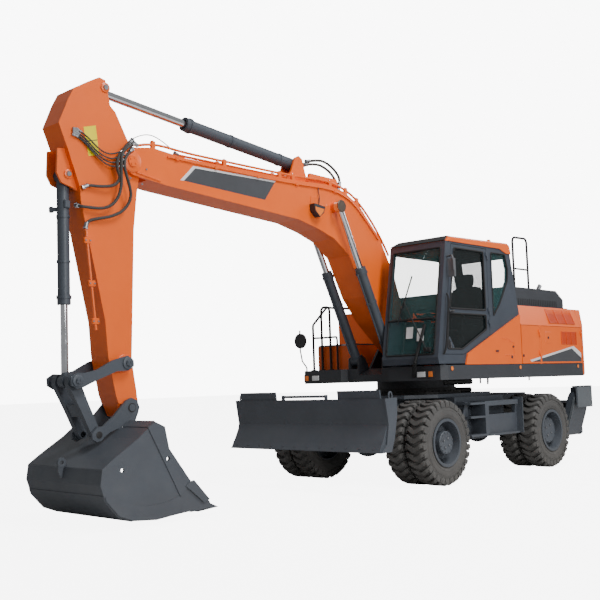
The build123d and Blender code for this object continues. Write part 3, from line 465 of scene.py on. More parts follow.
def makeLens(name, color, glow):
    material, nodes, links, shader, place = startMaterial(name)
    ridge = nodes.new("ShaderNodeTexWave")
    ridge.inputs["Scale"].default_value = 60.0
    links.new(place, ridge.inputs["Vector"])
    links.new(addTone(nodes, links, ridge.outputs["Fac"], color, 0.75, 0.2, 0.8),
              shader.inputs["Base Color"])
    shader.inputs["Roughness"].default_value = 0.12
    shader.inputs["Coat Weight"].default_value = 0.6
    shader.inputs["Emission Color"].default_value = (*color, 1.0)
    shader.inputs["Emission Strength"].default_value = glow
    addBump(nodes, links, shader, ridge.outputs["Fac"], 0.3, 0.001)
    return material


orange, deepOrange, slate, dark, cabPaint, palePaint, black = (makePaint(name) for name in paintTable)
chromeColor = (0.82, 0.84, 0.87)
bronze = makeMetal("bronzeSteel", (0.20, 0.16, 0.13), 0.42, 0.04)
chrome = makeMetal("chromeRod", chromeColor, 0.09)
steel = makeMetal("bareSteel", (0.42, 0.43, 0.45), 0.32, 0.05)
rubber = makeRubber("tyreRubber", (0.078, 0.077, 0.076), 0.5)
hoseRubber = makeRubber("hoseRubber", (0.060, 0.056, 0.051), 0.05, 120.0)
sealRubber = makeRubber("sealRubber", (0.012, 0.012, 0.013), 0.05, 90.0)
plastic = makePlastic("darkPlastic", (0.030, 0.031, 0.034), 0.55)
greyPlastic = makePlastic("greyPlastic", (0.10, 0.105, 0.115), 0.6)
whiteFilm = makePlastic("whiteFilm", (0.78, 0.79, 0.80), 0.35, 60.0, 0.02)
yellowFilm = makePlastic("yellowFilm", (0.95, 0.78, 0.0), 0.35, 60.0, 0.02)
greyFilm = makePlastic("greyFilm", (0.060, 0.064, 0.072), 0.35, 60.0, 0.02)
seatCloth = makePlastic("seatCloth", (0.045, 0.046, 0.052), 0.9, 380.0, 0.4)
glass = makeGlass("tintedGlass", (0.05, 0.15, 0.15), 0.22)
doorPaint = makeGlazedPaint("glazedDoor", "cabPaint", 1.184, 0.0046, (0.010, 0.016, 0.017), 0.55)
bucketRod = makeRodFinish("bucketRod", "slatePaint", at(5.565, 0.0, 1.385), 0.088, chromeColor)
clearLens = makeLens("clearLens", (0.85, 0.87, 0.88), 0.05)
amberLens = makeLens("amberLens", (0.95, 0.22, 0.02), 0.10)
print("materials made")

finishTable = {
    orange: ["arm", "boom", "body_panels", "counterweight", "door_left_front", "door_left_rear",
             "door_right", "cab_roof", "tank"],
    slate: ["bucket", "chassis_frame", "dozer_blade", "axle_fixed", "axle_steer", "knuckle_left",
            "knuckle_right", "step_box_left", "step_box_right", "wheel_fixed_left", "wheel_fixed_right",
            "wheel_steer_left", "wheel_steer_right", "guide_links", "h_link", "outrigger_left",
            "outrigger_right", "arm_cylinder_barrel", "boom_cylinder_barrels", "bucket_cylinder_barrel",
            "blade_cylinder_barrels", "outrigger_barrel_left", "outrigger_barrel_right"],
    dark: ["upper_frame", "hood_lid", "hood_strip"],
    cabPaint: ["cab_shell"],
    doorPaint: ["cab_door"],
    black: ["slew_ring", "hood_rail", "front_rail", "engine_block"],
    chrome: ["arm_cylinder_rod", "boom_cylinder_rods", "blade_cylinder_rods", "outrigger_rod_left",
             "outrigger_rod_right"],
    bucketRod: ["bucket_cylinder_rod"],
    rubber: ["tyres_fixed_left", "tyres_fixed_right", "tyres_steer_left", "tyres_steer_right"],
    glass: ["cab_glass"],
    plastic: ["mirror_right", "cab_inside"],
    greyPlastic: ["mirror_left"],
    clearLens: ["head_lamps"],
    steel: ["step_tread"],
}
for material, nodeNames in finishTable.items():
    for nodeName in nodeNames:
        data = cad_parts[nodeName].data
        data.materials.clear()
        data.materials.append(material)

makeWorld(lightSpec)
for row in lampTable:
    makeLamp(*row)


def makeFloor(spec):
    bm = bmesh.new()
    bmesh.ops.create_grid(bm, x_segments=1, y_segments=1, size=spec["floorSize"] / 2)
    mesh = bpy.data.meshes.new("floor")
    bm.to_mesh(mesh)
    bm.free()
    floor = bpy.data.objects.new("floor", mesh)
    bpy.context.scene.collection.objects.link(floor)
    paint = makePlastic("floorPaint", spec["floorColor"], 0.8, 30.0, 0.02)
    mesh.materials.append(paint)
    # the eye meets a white floor, while the machine is lit by the grey one
    nodes, links = paint.node_tree.nodes, paint.node_tree.links
    shader = nodes["Principled BSDF"]
    shader.inputs["Emission Color"].default_value = (1.0, 1.0, 1.0, 1.0)
    seen = nodes.new("ShaderNodeLightPath").outputs["Is Camera Ray"]
    links.new(addRange(nodes, links, seen, 0.0, spec["floorGlow"]), shader.inputs["Emission Strength"])


makeFloor(lightSpec)
print("floor and lights made")

# tyres: carcass, bead and a ring of wavy lugs that reach down the shoulders
tyreSpec = {"radius": 0.520, "halfWidth": 0.139, "groove": 0.030, "pitches": 30, "lugWave": 0.030,
            "lugTurns": 1.0, "lugFill": 0.56, "shoulderStart": 0.70, "shoulderFall": 0.042,
            "shoulderCurve": 1.8, "ribs": ((0.338, 0.1345), (0.306, 0.1255), (0.400, 0.1345)),
            "outerY": 1.119, "innerY": 0.807, "wheelZ": 0.520, "fixedX": 1.095, "steerX": -1.505}
halfProfile = [(0.274, -0.108), (0.300, -0.124), (0.330, -0.134), (0.380, -0.1365), (0.425, -0.130),
               (0.455, -0.118), (0.478, -0.102), (0.488, -0.070)]
carcassProfile = halfProfile + [(0.490, 0.0)] + [(radius, -y) for radius, y in reversed(halfProfile)]


def bendLug(vert, spec, span):
    # carries a point of the flat lug to its place on the tyre's crown and shoulders
    along, across, level = vert.co
    start = spec["shoulderStart"]
    beyond = max(0.0, abs(across) * 2 - start) / (1.0 - start)
    fall = spec["shoulderFall"] * beyond ** spec["shoulderCurve"]
    wave = spec["lugWave"] * math.cos(across * math.tau * spec["lugTurns"])
    if level > 0.5:
        radius, slim, narrow = spec["radius"] - fall, 0.92, 0.985
    else:
        radius, slim, narrow = spec["radius"] - spec["groove"] - 0.006 - fall * 1.2, 1.08, 1.0
    angle = (along * span * slim + wave) / spec["radius"]
    y = across * 2 * (spec["halfWidth"] - 0.004) * narrow
    vert.co = (radius * math.sin(angle), y, radius * math.cos(angle))


def makeTyreShape(spec):
    bm = bmesh.new()
    pitchAngle = math.tau / spec["pitches"]
    span = pitchAngle * spec["radius"] * spec["lugFill"]
    bmesh.ops.create_grid(bm, x_segments=2, y_segments=14, size=0.5)
    pushFaces(bm, list(bm.faces), (0, 0, 1))
    for vert in bm.verts:
        bendLug(vert, spec, span)
    for low, high in ((-0.1375, -0.112), (0.112, 0.1375)):
        addBlock(bm, (-span * 0.46, low, 0.430), (span * 0.46, high, 0.496), 0.004)
    turns = spec["pitches"] - 1
    bmesh.ops.spin(bm, geom=list(bm.verts) + list(bm.edges) + list(bm.faces), cent=(0, 0, 0),
                   axis=(0, 1, 0), angle=pitchAngle * turns, steps=turns, use_duplicate=True,
                   use_merge=False)
    addRing(bm, (0, 0, 0), (0, 1, 0), carcassProfile, 72)
    for radius, width in spec["ribs"]:
        for side in (-1, 1):
            rib = [(radius - 0.005, side * (width - 0.004)), (radius, side * (width + 0.0025)),
                   (radius + 0.005, side * (width - 0.004))]
            addRing(bm, (0, 0, 0), (0, 1, 0), rib, 72)
    return bm


def makeTyres(spec):
    shape = makeTyreShape(spec)
    base = bpy.data.meshes.new("tyreShape")
    shape.to_mesh(base)
    shape.free()
    for name, x in (("fixed", spec["fixedX"]), ("steer", spec["steerX"])):
        for sideName, side in sideTable:
            bm = bmesh.new()
            for k, y in enumerate((spec["outerY"], spec["innerY"])):
                turn = Matrix.Rotation(0.045 * k + 0.11 * side + x, 4, "Y")
                single = base.copy()
                single.transform(Matrix.Translation(at(x, side * y, spec["wheelZ"])) @ turn)
                bm.from_mesh(single)
                bpy.data.meshes.remove(single)
            piece = makePiece(f"treaded_tyres_{name}_{sideName}", bm, rubber, f"wheels_{name}_{sideName}",
                              angle=40)
            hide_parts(f"tyres_{name}_{sideName}")
    bpy.data.meshes.remove(base)


makeTyres(tyreSpec)
print("tyres made")

# wheel fittings: nuts in the dish, hub face with its bolts, a lock ring on the rim and a valve
wheelSpec = {"dishY": 1.099, "nutCircle": 0.217, "nuts": 10, "faceBolts": 4, "edgeBolts": 12,
             "lipY": 1.2535, "drumY": 1.131, "valve": ((0.228, 0.01), (0.231, 0.05), (0.240, 0.085)),
             "valveAngle": 0.94}
nutTable = [
    # washer, nut and stud: distances from the dish, radius, sides
    (-0.002, 0.005, 0.018, 16),
    (0.004, 0.026, 0.0145, 6),
    (0.020, 0.042, 0.008, 10),
]
rimProfile = [(0.258, -0.012), (0.262, -0.004), (0.272, 0.001), (0.286, 0.001), (0.2925, -0.004),
              (0.2925, -0.010), (0.285, -0.014)]
hubTable = [
    # name, place along the machine, hub radius, y of its face
    ("fixed", "fixedX", 0.140, 1.231),
    ("steer", "steerX", 0.180, 1.187),
]


def makeWheelParts(spec, tyres):
    for name, xKey, hubRadius, hubY in hubTable:
        for sideName, side in sideTable:
            body, slotName = f"wheels_{name}_{sideName}", f"wheel_{name}_{sideName}"
            axis = Vector((0, side, 0))
            centre = at(tyres[xKey], 0, tyres["wheelZ"])

            def spot(radius, angle, y):
                return centre + Vector((radius * math.cos(angle), side * y, radius * math.sin(angle)))

            bm, bright = bmesh.new(), bmesh.new()
            for angle in around(spec["nuts"]):
                for inner, outer, radius, sides in nutTable:
                    ends = [spot(spec["nutCircle"], angle, spec["dishY"] + out) for out in (inner, outer)]
                    addBar(bm, *ends, radius, sides)
            addRing(bm, spot(0, 0, spec["lipY"]), axis, rimProfile, 64)
            cap = [(0.0, 0.0), (hubRadius - 0.038, 0.0), (hubRadius - 0.030, 0.005),
                   (hubRadius - 0.007, 0.005), (hubRadius + 0.0005, -0.003), (hubRadius + 0.0005, -0.018),
                   (0.0, -0.018)]
            addRing(bm, spot(0, 0, hubY + 0.002), axis, cap, 48)
            drum = hubRadius + 0.0165
            collar = [(hubRadius, 0.0), (drum - 0.006, 0.0), (drum, -0.006), (drum, -0.016),
                      (hubRadius, -0.016)]
            addRing(bm, spot(0, 0, spec["drumY"] + 0.002), axis, collar, 48)
            for angle in around(spec["edgeBolts"], math.pi / spec["edgeBolts"]):
                addHex(bm, spot(hubRadius - 0.018, angle, hubY + 0.006), axis, 0.0085, 0.009)
            for angle in around(spec["faceBolts"], 0.5):
                addHex(bright, spot(hubRadius * 0.44, angle, hubY + 0.001), axis, 0.012, 0.012)
            valve = [spot(radius, spec["valveAngle"], spec["dishY"] + out) for radius, out in spec["valve"]]
            addTube(bright, valve, 0.005, 8)
            makePiece(f"wheel_fittings_{name}_{sideName}", bm, slate, body)
            makePiece(f"wheel_bright_{name}_{sideName}", bright, steel, body)


makeWheelParts(wheelSpec, tyreSpec)
print("wheel fittings made")

# body sides: grilles, and a plain stripe with the field under it
sideSpec = {"plane": 1.222, "bandLow": (1.2148, 2.049), "bandHigh": (1.1312, 2.258),
            "grilleX": (-1.673, -2.429), "slats": 13, "doorGrilleX": (-1.975, -2.431),
            "doorGrilleZ": (1.742, 1.933), "doorSlats": 11, "split": -1.354, "splitHalf": 0.023}
stripeOutline = [(-1.084, 1.492), (-1.041, 1.516), (-2.336, 1.722), (-2.576, 1.617), (-2.567, 1.544),
                 (-2.28, 1.684)]
fieldOutline = [(-1.110, 1.492), (-1.084, 1.494), (-2.28, 1.684), (-2.567, 1.544), (-2.567, 1.492)]


def makeGrille(name, body, side, xs, low, high, slats, out):
    # slats lie on the panel between a low and a high edge, each given as (y, z)
    lowEdge, highEdge = Vector((0, low[0] * side, low[1])), Vector((0, high[0] * side, high[1]))
    rise = highEdge - lowEdge
    normal = Vector((1, 0, 0)).cross(rise).normalized()
    if normal.y * side < 0:
        normal = -normal
    start, end = (Vector((x + slewX, 0, 0)) for x in xs)
    width = end - start
    bm = bmesh.new()
    corners = (start + lowEdge, end + lowEdge, end + highEdge, start + highEdge)
    addPlate(bm, [p + normal * 0.0004 for p in corners], normal * 0.0012)
    makePiece(f"{name}_back", bm, deepOrange, body, smooth=False)
    bm = bmesh.new()
    for k in range(slats):
        a = lowEdge + rise * ((k + 0.18) / slats)
        b = lowEdge + rise * ((k + 0.82) / slats)
        crown = (a + b) / 2 + normal * out + rise * 0.1 / slats
        addPlate(bm, [start + a, start + crown, start + b], width)
    half = Vector((0.006, 0, 0))
    for k in range(4):
        foot = start + width * k / 3 + lowEdge
        addPlate(bm, [foot - half, foot + half, foot + half + rise, foot - half + rise], normal * out)
    makePiece(f"{name}_slats", bm, deepOrange, body, smooth=False)


def makeFilm(name, points, body, slotName, material, side, y, thick, cut=None):
    # a thin plate from an (x, z) outline; a cut keeps what lies above or below an x
    bm = bmesh.new()
    bm.faces.new([bm.verts.new(p) for p in flat(points, side * y)])
    if cut:
        cutX, keepAbove = cut
        bmesh.ops.bisect_plane(bm, geom=list(bm.verts) + list(bm.edges) + list(bm.faces),
                               plane_co=at(cutX, 0, 0), plane_no=(1, 0, 0), clear_inner=keepAbove,
                               clear_outer=not keepAbove)
    pushFaces(bm, list(bm.faces), (0, side * thick, 0))
    makePiece(name, bm, material, body, smooth=False)


def makeSideFilms(spec):
    y = spec["plane"] + 0.0002
    films = (("stripe", stripeOutline, whiteFilm, 0.0013), ("field", fieldOutline, greyFilm, 0.0008))
    frontCut = (spec["split"] + spec["splitHalf"], True)
    rearCut = (spec["split"] - spec["splitHalf"], False)
    for sideName, side in sideTable:
        front = ("door_left_front", "door_left_front") if side == 1 else ("upper", "body_panels")
        rear = "door_left_rear" if side == 1 else "door_right"
        for part, points, material, thick in films:
            makeFilm(f"{part}_front_{sideName}", points, *front, material, side, y, thick, frontCut)
            makeFilm(f"{part}_rear_{sideName}", points, rear, rear, material, side, y, thick, rearCut)


def makeGrilles(spec):
    doorLow, doorHigh = ((spec["plane"], z) for z in spec["doorGrilleZ"])
    for sideName, side in sideTable:
        makeGrille(f"band_grille_{sideName}", "upper", side, spec["grilleX"],
                   spec["bandLow"], spec["bandHigh"], spec["slats"], 0.009)
        door = "door_left_rear" if side == 1 else "door_right"
        makeGrille(f"door_grille_{sideName}", door, side, spec["doorGrilleX"], doorLow, doorHigh,
                   spec["doorSlats"], 0.008)


makeGrilles(sideSpec)
makeSideFilms(sideSpec)
print("body sides made")

# head lamps and reflectors on the skirt
lampSpec = {"frontX": 1.035, "z": 1.357, "headY": (0.880, -0.950), "amberY": (1.000, -1.095), "half": 0.052,
            "high": 0.034, "reflectors": ((0.882, 1.420), (-0.762, 1.420), (-2.442, 1.420)),
            "reflectorRadius": 0.026}


def makeLamps(spec):
    bezel, lens, amber = bmesh.new(), bmesh.new(), bmesh.new()
    half, high = spec["half"], spec["high"]
    for headY, amberY in zip(spec["headY"], spec["amberY"]):
        side = 1 if headY > 0 else -1
        reach = abs(headY - amberY) / 2 + half + 0.014
        front = at(spec["frontX"], (headY + amberY) / 2, spec["z"])
        addLocalBlock(bezel, front, (-0.002, -reach, -high - 0.016), (0.010, reach, high + 0.016), 0.005, 2)
        head = at(spec["frontX"] + 0.010, headY - side * 0.012, spec["z"])
        addLocalBlock(lens, head, (-0.004, -half - 0.012, -high), (0.007, half + 0.012, high), 0.0045, 3)
        turn = at(spec["frontX"] + 0.010, amberY + side * 0.010, spec["z"])
        addLocalBlock(amber, turn, (-0.004, -0.030, -high), (0.007, 0.030, high), 0.0045, 3)
    for side in (1, -1):
        for x, z in spec["reflectors"]:
            spot = at(x, side * 1.2215, z)
            addBar(amber, spot, spot + Vector((0, side * 0.006, 0)), spec["reflectorRadius"], 28)
            addBand(bezel, spot, (0, side, 0), spec["reflectorRadius"], spec["reflectorRadius"] + 0.004,
                    0.004, 28)
    makePiece("lamp_bezels", bezel, plastic, "upper")
    lensPiece = makePiece("head_lamp_lenses", lens, clearLens, "upper")
    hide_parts("head_lamps")
    makePiece("amber_lenses", amber, amberLens, "upper")


makeLamps(lampSpec)

# door catches, one of them without a door behind it
catchSpec = {"plane": 1.222, "radius": 0.021}
catchTable = [
    # body, slot, side, x, z, half size of its square plate
    ("door_left_front", "door_left_front", 1, -0.872, 1.579, 0.0),
    ("door_left_rear", "door_left_rear", 1, -1.581, 1.836, 0.084),
    ("door_right", "door_right", -1, -1.581, 1.836, 0.084),
    ("upper", "body_panels", 1, -0.560, 1.560, 0.0),
]


def makeCatches(spec):
    groups = defaultdict(bmesh.new)
    plane = spec["plane"]
    for body, slotName, side, x, z, half in catchTable:
        if half:
            plateMesh = bmesh.new()
            low, high = (x - half, plane - 0.001, z - half), (x + half, plane + 0.003, z + half)
            addSideBlock(plateMesh, side, low, high, 0.002)
            makePiece(f"catch_plate_{body}", plateMesh, orange, body)
        bm = groups[body, slotName]
        y = plane + (0.002 if half else 0.0)
        addDisc(bm, at(x, side * y, z), (0, side, 0), spec["radius"], 0.003, 0.006, 0.004, 24)
        addSideBlock(bm, side, (x - 0.004, y, z - 0.013), (x + 0.004, y + 0.010, z + 0.013), 0.0015)
    makeGroups(groups, "catches", plastic)


makeCatches(catchSpec)

# the filler panel ahead of the doors: pressed outline, five steps of a stamped arc, a pull and a lock
fillerSpec = {"x": (-0.624, -0.069), "z": (1.586, 1.877), "plane": 1.222, "steps": 5, "stepX": 0.052,
              "stepZ": 0.012, "pull": (-0.190, 1.640), "lock": (-0.600, 1.700)}


def makeFiller(spec):
    bm = bmesh.new()
    (x0, x1), (z0, z1) = spec["x"], spec["z"]
    y = spec["plane"] + 0.0005
    corners = flat([(x0 + 0.20, z1 - 0.05), (x0, z1 - 0.12), (x0, z0), (x1 - 0.30, z0)], y)
    for a, b in zip(corners, corners[1:]):
        addBar(bm, a, b, 0.0035, 8)
    for k in range(spec["steps"]):
        a = at(x0 + 0.045 + k * spec["stepX"], y, z1 - 0.115 + k * spec["stepZ"])
        addBar(bm, a, a + Vector((0.034, 0, 0.008)), 0.0045, 8)
    makePiece("filler_ribs", bm, orange, "upper")
    bm = bmesh.new()
    pull, lock = flat([spec["pull"], spec["lock"]], spec["plane"])
    addLocalBlock(bm, pull, (-0.035, -0.001, -0.012), (0.035, 0.009, 0.012), 0.004, 2)
    addBar(bm, lock, lock + Vector((0, 0.012, 0)), 0.014, 16)
    makePiece("filler_pull", bm, plastic, "upper")


makeFiller(fillerSpec)
print("lamps and catches made")

# boom and arm: blank two-tone plates, and bosses over the pins
plateHalf = {"boom": 0.190, "arm": 0.150}
boomField = [(4.205, 3.511), (4.041, 3.672), (2.819, 3.684), (2.987, 3.454)]
boomEdge = [(2.870, 3.684), (2.819, 3.684), (2.803, 3.706), (4.068, 3.694), (4.252, 3.511), (4.205, 3.511),
            (4.041, 3.672)]
armLabel = [(5.429, 3.886), (5.287, 3.928), (5.248, 3.632), (5.373, 3.602)]
labelDivider = [(5.401, 3.752), (5.2685, 3.786), (5.2675, 3.778), (5.399, 3.744)]
filmTable = [
    # name, outline, body, material, gap to the plate, thickness
    ("boom_field", boomField, "boom", greyFilm, 0.0003, 0.0008),
    ("boom_edge", boomEdge, "boom", whiteFilm, 0.0003, 0.0011),
    ("arm_label", armLabel, "arm", yellowFilm, 0.0003, 0.0010),
    ("label_divider", labelDivider, "arm", greyFilm, 0.0004, 0.0014),
]
for sideName, side in sideTable:
    for name, outline, body, material, gap, thick in filmTable:
        y = plateHalf[body] + side * boomY + gap
        makeFilm(f"{name}_{sideName}", outline, body, body, material, side, y, thick)

bossTable = [
    # body, pin (x, z), half width across, boss radius, cap radius, cap's material, bolts, height
    ("boom", (4.882, 3.616), 0.190, 0.112, 0.060, orange, 4, 0.016),
    ("boom", (0.300, 1.740), 0.190, 0.100, 0.055, orange, 0, 0.016),
    ("boom", (1.777, 3.504), 0.312, 0.0, 0.078, bronze, 0, 0.016),
    ("arm", (4.985, 1.549), 0.150, 0.090, 0.050, orange, 0, 0.016),
    ("arm", (5.170, 4.340), 0.150, 0.052, 0.028, steel, 0, 0.016),
    ("arm", (5.575, 3.400), 0.100, 0.046, 0.026, steel, 0, 0.016),
    ("bucket", (4.924, 1.107), 0.190, 0.088, 0.046, black, 0, 0.003),
    ("bucket", (5.310, 0.860), 0.190, 0.062, 0.034, black, 0, 0.003),
    ("guide_links", (4.985, 1.549), 0.222, 0.064, 0.034, slate, 3, 0.016),
    ("guide_links", (5.565, 1.385), 0.222, 0.058, 0.030, slate, 3, 0.016),
]


def makeBosses():
    groups = defaultdict(bmesh.new)
    for body, (x, z), half, radius, cap, metal, bolts, rise in bossTable:
        bm = groups[body, orange if body in plateHalf else slate]
        caps = groups[body, metal]
        wall = rise * 0.75
        for side in (1, -1):
            centre = at(x, boomY + side * half, z)
            axis = Vector((0, side, 0))
            if radius:
                addDisc(bm, centre - axis * 0.002, axis, radius, wall, rise, 0.006, 40)
            addDisc(caps, centre + axis * wall, axis, cap, wall, rise, 0.004, 32)
            for angle in around(bolts, 0.6):
                spot = centre + axis * 0.026 + Vector((math.cos(angle), 0, math.sin(angle))) * cap * 0.62
                addHex(bm, spot, axis, 0.010, 0.008)
    for (body, metal), bm in groups.items():
        makePiece(f"pin_bosses_{body}_{metal.name}", bm, metal, body)


makeBosses()
print("boom and arm plates made")

# hoses and pipes on the boom and the arm
hoseSizes = {"thick": (0.016, 10), "thin": (0.008, 8)}
hoseTable = [
    # group, points
    ("thick", [(4.851, .10, 3.849), (5.063, .17, 3.674), (5.103, .185, 3.509), (5.044, .175, 3.409),
               (5.113, .16, 3.324), (5.28, .14, 3.3), (5.398, .13, 3.302), (5.444, .115, 3.277)]),
    ("thick", [(4.838, .12, 3.813), (5.017, .18, 3.726), (5.06, .20, 3.57), (5.04, .185, 3.297),
               (5.12, .165, 3.136), (5.251, .15, 3.078), (5.407, .14, 3.078), (5.492, .12, 3.082),
               (5.480, .045, 3.104)]),
    ("thick", [(4.892, .155, 3.734), (4.995, .185, 3.65), (5.022, .20, 3.519), (4.957, .20, 3.35),
               (4.919, .18, 3.225), (5.0, .16, 3.084), (5.16, .145, 3.007), (5.303, .13, 2.978),
               (5.408, .12, 2.946), (5.425, .118, 2.88)]),
    ("thin", [(4.998, .17, 3.71), (5.095, .16, 3.655), (5.199, .14, 3.647), (5.29, .125, 3.701),
              (5.407, .115, 3.804), (5.504, .112, 3.848)]),
    ("thin", [(5.015, .175, 3.655), (5.102, .165, 3.601), (5.199, .14, 3.606), (5.308, .125, 3.667),
              (5.427, .115, 3.78), (5.523, .112, 3.824)]),
    ("thin", [(5.026, .18, 3.6), (5.111, .168, 3.556), (5.2, .14, 3.57), (5.32, .125, 3.645),
              (5.438, .115, 3.765), (5.539, .112, 3.803)]),
    ("thin", [(5.03, .185, 3.537), (5.118, .17, 3.516), (5.2, .14, 3.537), (5.328, .125, 3.629),
              (5.446, .115, 3.753), (5.553, .112, 3.784)]),
]
hoseBlend = {"thick": ((4.93, 0.15, 3.70), (5.15, 0.15, 3.35)),
             "thin": ((5.0, 0.15, 3.65), (5.2, 0.15, 3.65))}
footRadius = 0.017
footHoses = [
    [(2.079, -.02, 4.086), (1.889, .02, 4.133), (1.759, .05, 4.098), (1.637, .07, 4.018),
     (1.571, .09, 3.917), (1.597, .10, 3.824)],
    [(2.108, -.03, 4.041), (1.924, 0, 4.082), (1.777, .03, 4.036), (1.685, .06, 3.956),
     (1.625, .085, 3.847), (1.628, .10, 3.759)],
]
pipeLine = [(4.800, 3.800), (4.620, 3.862), (4.170, 3.825), (3.530, 3.822), (2.378, 3.815), (1.900, 3.845),
            (1.540, 3.790), (1.240, 3.645), (0.820, 3.235), (0.660, 2.980)]
pipeSpec = {"rows": ((0.122, 0), (0.000, 2), (-0.100, 2), (-0.222, 0)), "radius": 0.015,
            "clamps": (4.600, 3.600, 2.720, 2.490, 1.813, 1.512, 1.292), "sideRow": 0.152,
            "sideClamps": (4.30, 3.75, 3.10, 2.45, 1.75), "armClamps": (2.750, 2.330, 1.960),
            "tipBolts": ((4.905, 3.800), (4.700, 3.560), (4.760, 3.395), (4.905, 3.440))}
sideLine = [(4.430, 3.735), (3.530, 3.712), (2.378, 3.712), (1.900, 3.738), (1.575, 3.690), (1.300, 3.562),
            (0.900, 3.170)]
armPipe = [(5.425, .118, 2.882), (5.402, .118, 2.657), (5.361, .118, 2.266), (5.320, .118, 1.875)]


def lineZ(line, x):
    for (xa, za), (xb, zb) in zip(line, line[1:]):
        if xb <= x <= xa:
            return zb + (za - zb) * (x - xb) / (xa - xb)
    return line[-1][1]


def addFitting(bm, end, inner, radius):
    # a crimped ferrule with its hex nut over the end of a hose
    way = (inner - end).normalized()
    addBar(bm, end - way * 0.004, end + way * 0.050, radius * 1.35, 12)
    addBar(bm, end - way * 0.016, end - way * 0.002, radius * 1.7, 6)


def makeHoses():
    groups = {"thick": bmesh.new(), "thin": bmesh.new()}
    boomEnds, armEnds, barrelEnds = bmesh.new(), bmesh.new(), bmesh.new()
    for group, points in hoseTable:
        radius, sides = hoseSizes[group]
        line = run(points)
        addTube(groups[group], line, radius, sides)
        addFitting(boomEnds, line[0], line[1], radius)
        addFitting(armEnds, line[-1], line[-2], radius)
    for group, bm in groups.items():
        piece = makePiece(f"{group}_hoses", bm, hoseRubber, None)
        start, end = hoseBlend[group]
        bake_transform(piece)
    bm = bmesh.new()
    for points in footHoses:
        line = run(points)
        addTube(bm, line, footRadius, 10)
        addFitting(boomEnds, line[-1], line[-2], footRadius)
        addFitting(barrelEnds, line[0], line[1], footRadius)
    piece = makePiece("foot_hoses", bm, hoseRubber, None)
    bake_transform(piece)
    # the block that holds the four thin hoses to the arm
    addBlock(armEnds, at(5.490, 0.100, 3.770), at(5.560, 0.121, 3.860), 0.004)
    makePiece("hose_ends_boom", boomEnds, steel, "boom")
    makePiece("hose_ends_arm", armEnds, steel, "arm")
    makePiece("hose_ends_barrel", barrelEnds, steel, "arm_barrel")


def makePipes(spec):
    bm, bolts = bmesh.new(), bmesh.new()
    for y, first in spec["rows"]:
        line = pipeLine[first:]
        addTube(bm, flat(line, y), spec["radius"], 8)
        front = at(line[0][0], y, line[0][1])
        addBar(bolts, front - Vector((0.006, 0, 0)), front + Vector((0.050, 0, 0.018)),
               spec["radius"] * 1.35, 12)
        for x in spec["clamps"]:
            if x > line[0][0]:
                continue
            z = lineZ(pipeLine, x)
            addBlock(bm, at(x - 0.026, y - 0.017, z - 0.070), at(x + 0.026, y + 0.017, z + 0.020), 0.004)
            addHex(bolts, at(x, y, z + 0.019), (0, 0, 1), 0.010, 0.009)
    y = spec["sideRow"]
    addTube(bm, flat(sideLine, y), 0.009, 8)
    for x in spec["sideClamps"]:
        z = lineZ(sideLine, x)
        addBlock(bm, at(x - 0.020, 0.138, z - 0.018), at(x + 0.020, y + 0.012, z + 0.018), 0.003)
    # the lamp's bracket plate and the keeper bar under the boom's tip
    addBlock(bm, at(2.050, 0.138, 3.465), at(2.200, 0.146, 3.600), 0.003)
    addBar(bm, at(4.830, 0.142, 3.512), at(4.520, 0.142, 3.462), 0.011, 8)
    for x, z in spec["tipBolts"]:
        addHex(bolts, at(x, 0.139, z), (0, 1, 0), 0.011, 0.009)
    makePiece("boom_pipes", bm, orange, "boom")
    makePiece("boom_bolts", bolts, steel, "boom")
    bm, bolts = bmesh.new(), bmesh.new()
    addTube(bm, run(armPipe), 0.013, 8)
    for z in spec["armClamps"]:
        x = lineZ([(p[2], p[0]) for p in armPipe], z)
        addBlock(bm, at(x - 0.040, 0.098, z - 0.030), at(x + 0.040, 0.136, z + 0.030), 0.005)
        for dx in (-0.026, 0.026):
            addHex(bolts, at(x + dx, 0.135, z), (0, 1, 0), 0.009, 0.008)
    makePiece("arm_pipe", bm, orange, "arm")
    makePiece("arm_bolts", bolts, steel, "arm")


workLampSpec = {"caseY": 0.142, "faceY": 0.2265, "cableRadius": 0.006}
lampCase = [(2.226, 3.495), (2.025, 3.475), (2.050, 3.395), (2.130, 3.335), (2.215, 3.405)]
lampFace = [(2.210, 3.455), (2.055, 3.440), (2.068, 3.402), (2.130, 3.345), (2.202, 3.410)]
lampWire = [(2.09, .17, 3.48), (2.05, .165, 3.59), (2.08, .16, 3.68), (2.06, .155, 3.715)]
boomCable = [(4.860, .128, 3.860), (4.720, .128, 3.945), (4.520, .130, 3.930), (4.350, .130, 3.830)]


def makeWorkLamp(spec):
    bm = bmesh.new()
    addPlate(bm, flat(lampCase, spec["caseY"]), (0, 0.085, 0))
    for line in (lampWire, boomCable):
        addTube(bm, run(line), spec["cableRadius"], 6)
    makePiece("work_lamp_case", bm, plastic, "boom", smooth=False)
    bm = bmesh.new()
    addPlate(bm, flat(lampFace, spec["faceY"]), (0, 0.003, 0))
    makePiece("work_lamp_lens", bm, amberLens, "boom", smooth=False)


makeHoses()
makePipes(pipeSpec)
makeWorkLamp(workLampSpec)

